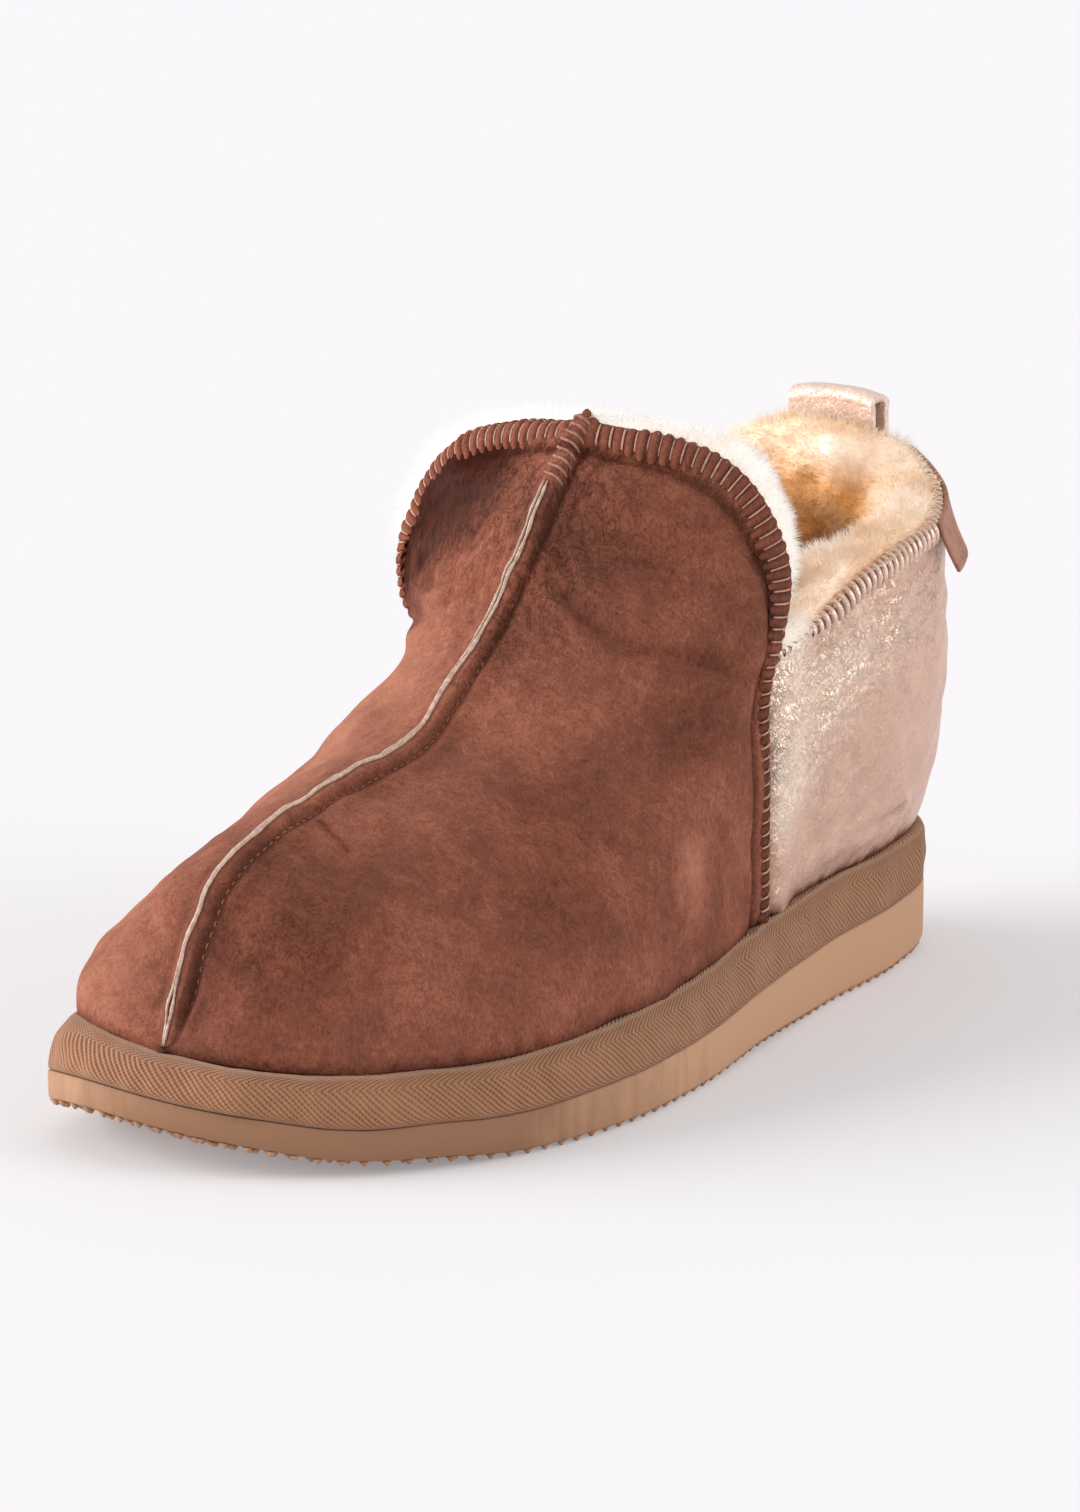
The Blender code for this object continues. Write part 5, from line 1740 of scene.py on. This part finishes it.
def wallLine(grid, share):
    at = share * (grid.shape[0] - 1)
    i = int(min(np.floor(at), grid.shape[0] - 2))
    return (grid[i] * (1 - (at - i)) + grid[i + 1] * (at - i))[::-1]


def buildLoop():
    halves = {side: quarterSurface(side, *loop["grid"]) for side in (lateral, medial)}
    wall = shoe["wall"] - shoe["step"]
    inner = {side: points - normal * wall for side, (points, normal) in halves.items()}
    rim = halves[lateral][0][:, -1]
    share = np.linspace(0, 1, len(rim))
    half = loop["thick"] / 2
    rows = []
    for x in np.linspace(-loop["width"] / 2, loop["width"] / 2, loop["columns"]):
        side = lateral if x >= 0 else medial
        at = np.interp(-abs(x), -rim[:, 0], share)
        inLine = wallLine(inner[side], at)
        outLine = wallLine(halves[side][0], at)
        start, end = inLine[0], outLine[0]
        span = np.linalg.norm((end - start)[:2]) / 2 + half + loop["seat"]
        out = unit((end - start) * np.array([1, 1, 0]))
        legIn = atLength(inLine, np.linspace(loop["innerLeg"], 0, 6)) - out * (half + loop["seat"])
        legOut = atLength(outLine, np.linspace(0, loop["outerLeg"], 8)) + out * (half + loop["seat"])
        turn = np.linspace(np.pi, 0, loop["arc"])
        middle = (start + end) / 2
        arch = middle + out * ((span + loop["belly"] * np.sin(turn)) * np.cos(turn))[:, None]
        arch[:, 2] = middle[2] + loop["rise"] - half - span + span * np.sin(turn)
        rows.append(np.concatenate([legIn, arch, legOut]))
    points = np.array(rows)
    points = points + np.array([0, 0, 1]) * (0.0002 * softNoise(points, 0.02, 101))[..., None]
    flat = np.ones(points.shape[:2])
    values = {"crackle": loop["crackle"] * flat, "paintedGlint": loop["paintedGlint"] * flat, "shadeAndSoil": 0 * flat}
    piece = gridPiece("pullLoop", points, values)
    modify(piece, "SOLIDIFY", thickness=loop["thick"], offset=0.0)
    modify(piece, "BEVEL", width=loop["bevel"], segments=2, limit_method="ANGLE")
    dress(piece, loopFoil, "metallic", "pull_loop")


buildLoop()

label = {
    "from": 0.58,
    "to": 0.85,
    "height": 0.011,
    "thick": 0.0011,
    "flare": 0.0040,
    "flareEnd": (0.20, 0.70),
    "grid": (80, 40),
    "columns": 40,
    "rows": 16,
    "bevel": 0.0004,
}


def buildLabel():
    grid, _ = quarterSurface(lateral, *label["grid"])
    share = np.linspace(label["from"], label["to"], label["columns"])
    drop = np.linspace(0, label["height"], label["rows"])
    lines = np.array([atLength(wallLine(grid, s), drop) for s in share])
    away = lines - np.array([0.0, 0.2 * shoe["length"], 0.0])
    away[..., 2] = 0
    outward = gridNormals(lines, away)
    spread = label["flare"] * fall(*label["flareEnd"], np.linspace(0, 1, label["columns"]))
    lift = shoe["gap"] + label["thick"] / 2 + spread[:, None] * (drop[None, :] / label["height"]) ** 1.5
    points = lines + outward * lift[..., None]
    piece = gridPiece("labelTab", points)
    modify(piece, "SOLIDIFY", thickness=label["thick"], offset=0.0)
    modify(piece, "BEVEL", width=label["bevel"], segments=2, limit_method="ANGLE")
    dress(piece, plain["labelLeather"], "label_leather", "label_tab")


buildLabel()

# Stage: floor, lights and camera

stage = {
    "floor": (0.65, 0.640, 0.652),
    "floorSize": 60,
    "floorGlow": 0.22,
    "world": 0.66,
    "worldColour": (1.0, 0.99, 1.0, 1),
    "suns": {  # right of the camera's line, towards the camera, up, angle in degrees and power
        "keyLeft": (-1.2, 0.1, 0.26, 60, 4.9),
        "keyRight": (1.0, 0.35, 0.35, 40, 1.0),
    },
    "sunAim": (0, 0, 0.05),
    "azimuth": 34.0131,
    "elevation": 14.3213,
    "distance": 1.5757576,
    "lens": 178.0,
    "sensor": 36,
    "aim": (0.0, 0.006, 0.060),
}


def pointAt(thing, aim):
    thing.rotation_mode = "QUATERNION"
    thing.rotation_quaternion = (aim - thing.location).to_track_quat("-Z", "Y")


def addSun(name, spot, angle, power):
    deselect()
    bpy.ops.object.light_add(type="SUN", location=spot)
    lamp = bpy.context.object
    lamp.name = name
    lamp.data.angle = math.radians(angle)
    lamp.data.energy = power
    pointAt(lamp, Vector(stage["sunAim"]))


def addFloor():
    deselect()
    bpy.ops.mesh.primitive_plane_add(size=stage["floorSize"])
    floor = bpy.context.object
    floor.name = "floor"
    colour = (*stage["floor"], 1)
    glow = {"Emission Color": colour, "Emission Strength": stage["floorGlow"] / stage["floor"][0]}
    sockets = {"Roughness": 0.9, "Specular IOR Level": 0.1, "Base Color": colour, **glow}
    floor.data.materials.append(newMaterial("paleFloor", sockets)[0])


def buildStage():
    addFloor()
    world = bpy.data.worlds.new("studio")
    bpy.context.scene.world = world
    world.use_nodes = True
    background = world.node_tree.nodes["Background"]
    background.inputs["Color"].default_value = stage["worldColour"]
    background.inputs["Strength"].default_value = stage["world"]
    a, e = math.radians(stage["azimuth"]), math.radians(stage["elevation"])
    back = Vector((math.sin(a) * math.cos(e), -math.cos(a) * math.cos(e), math.sin(e)))
    right = Vector((math.cos(a), math.sin(a), 0))
    for name, (across, towards, up, angle, power) in stage["suns"].items():
        addSun(name, tuple(right * across + back * towards + Vector((0, 0, up))), angle, power)
    deselect()
    bpy.ops.object.camera_add(location=back * stage["distance"] + Vector(shift))
    camera = bpy.context.object
    camera.data.lens = stage["lens"]
    camera.data.sensor_width = stage["sensor"]
    pointAt(camera, Vector(stage["aim"]) + Vector(shift))
    bpy.context.scene.camera = camera
    bpy.context.scene.view_settings.view_transform = "Standard"


buildStage()
print("stage ready")
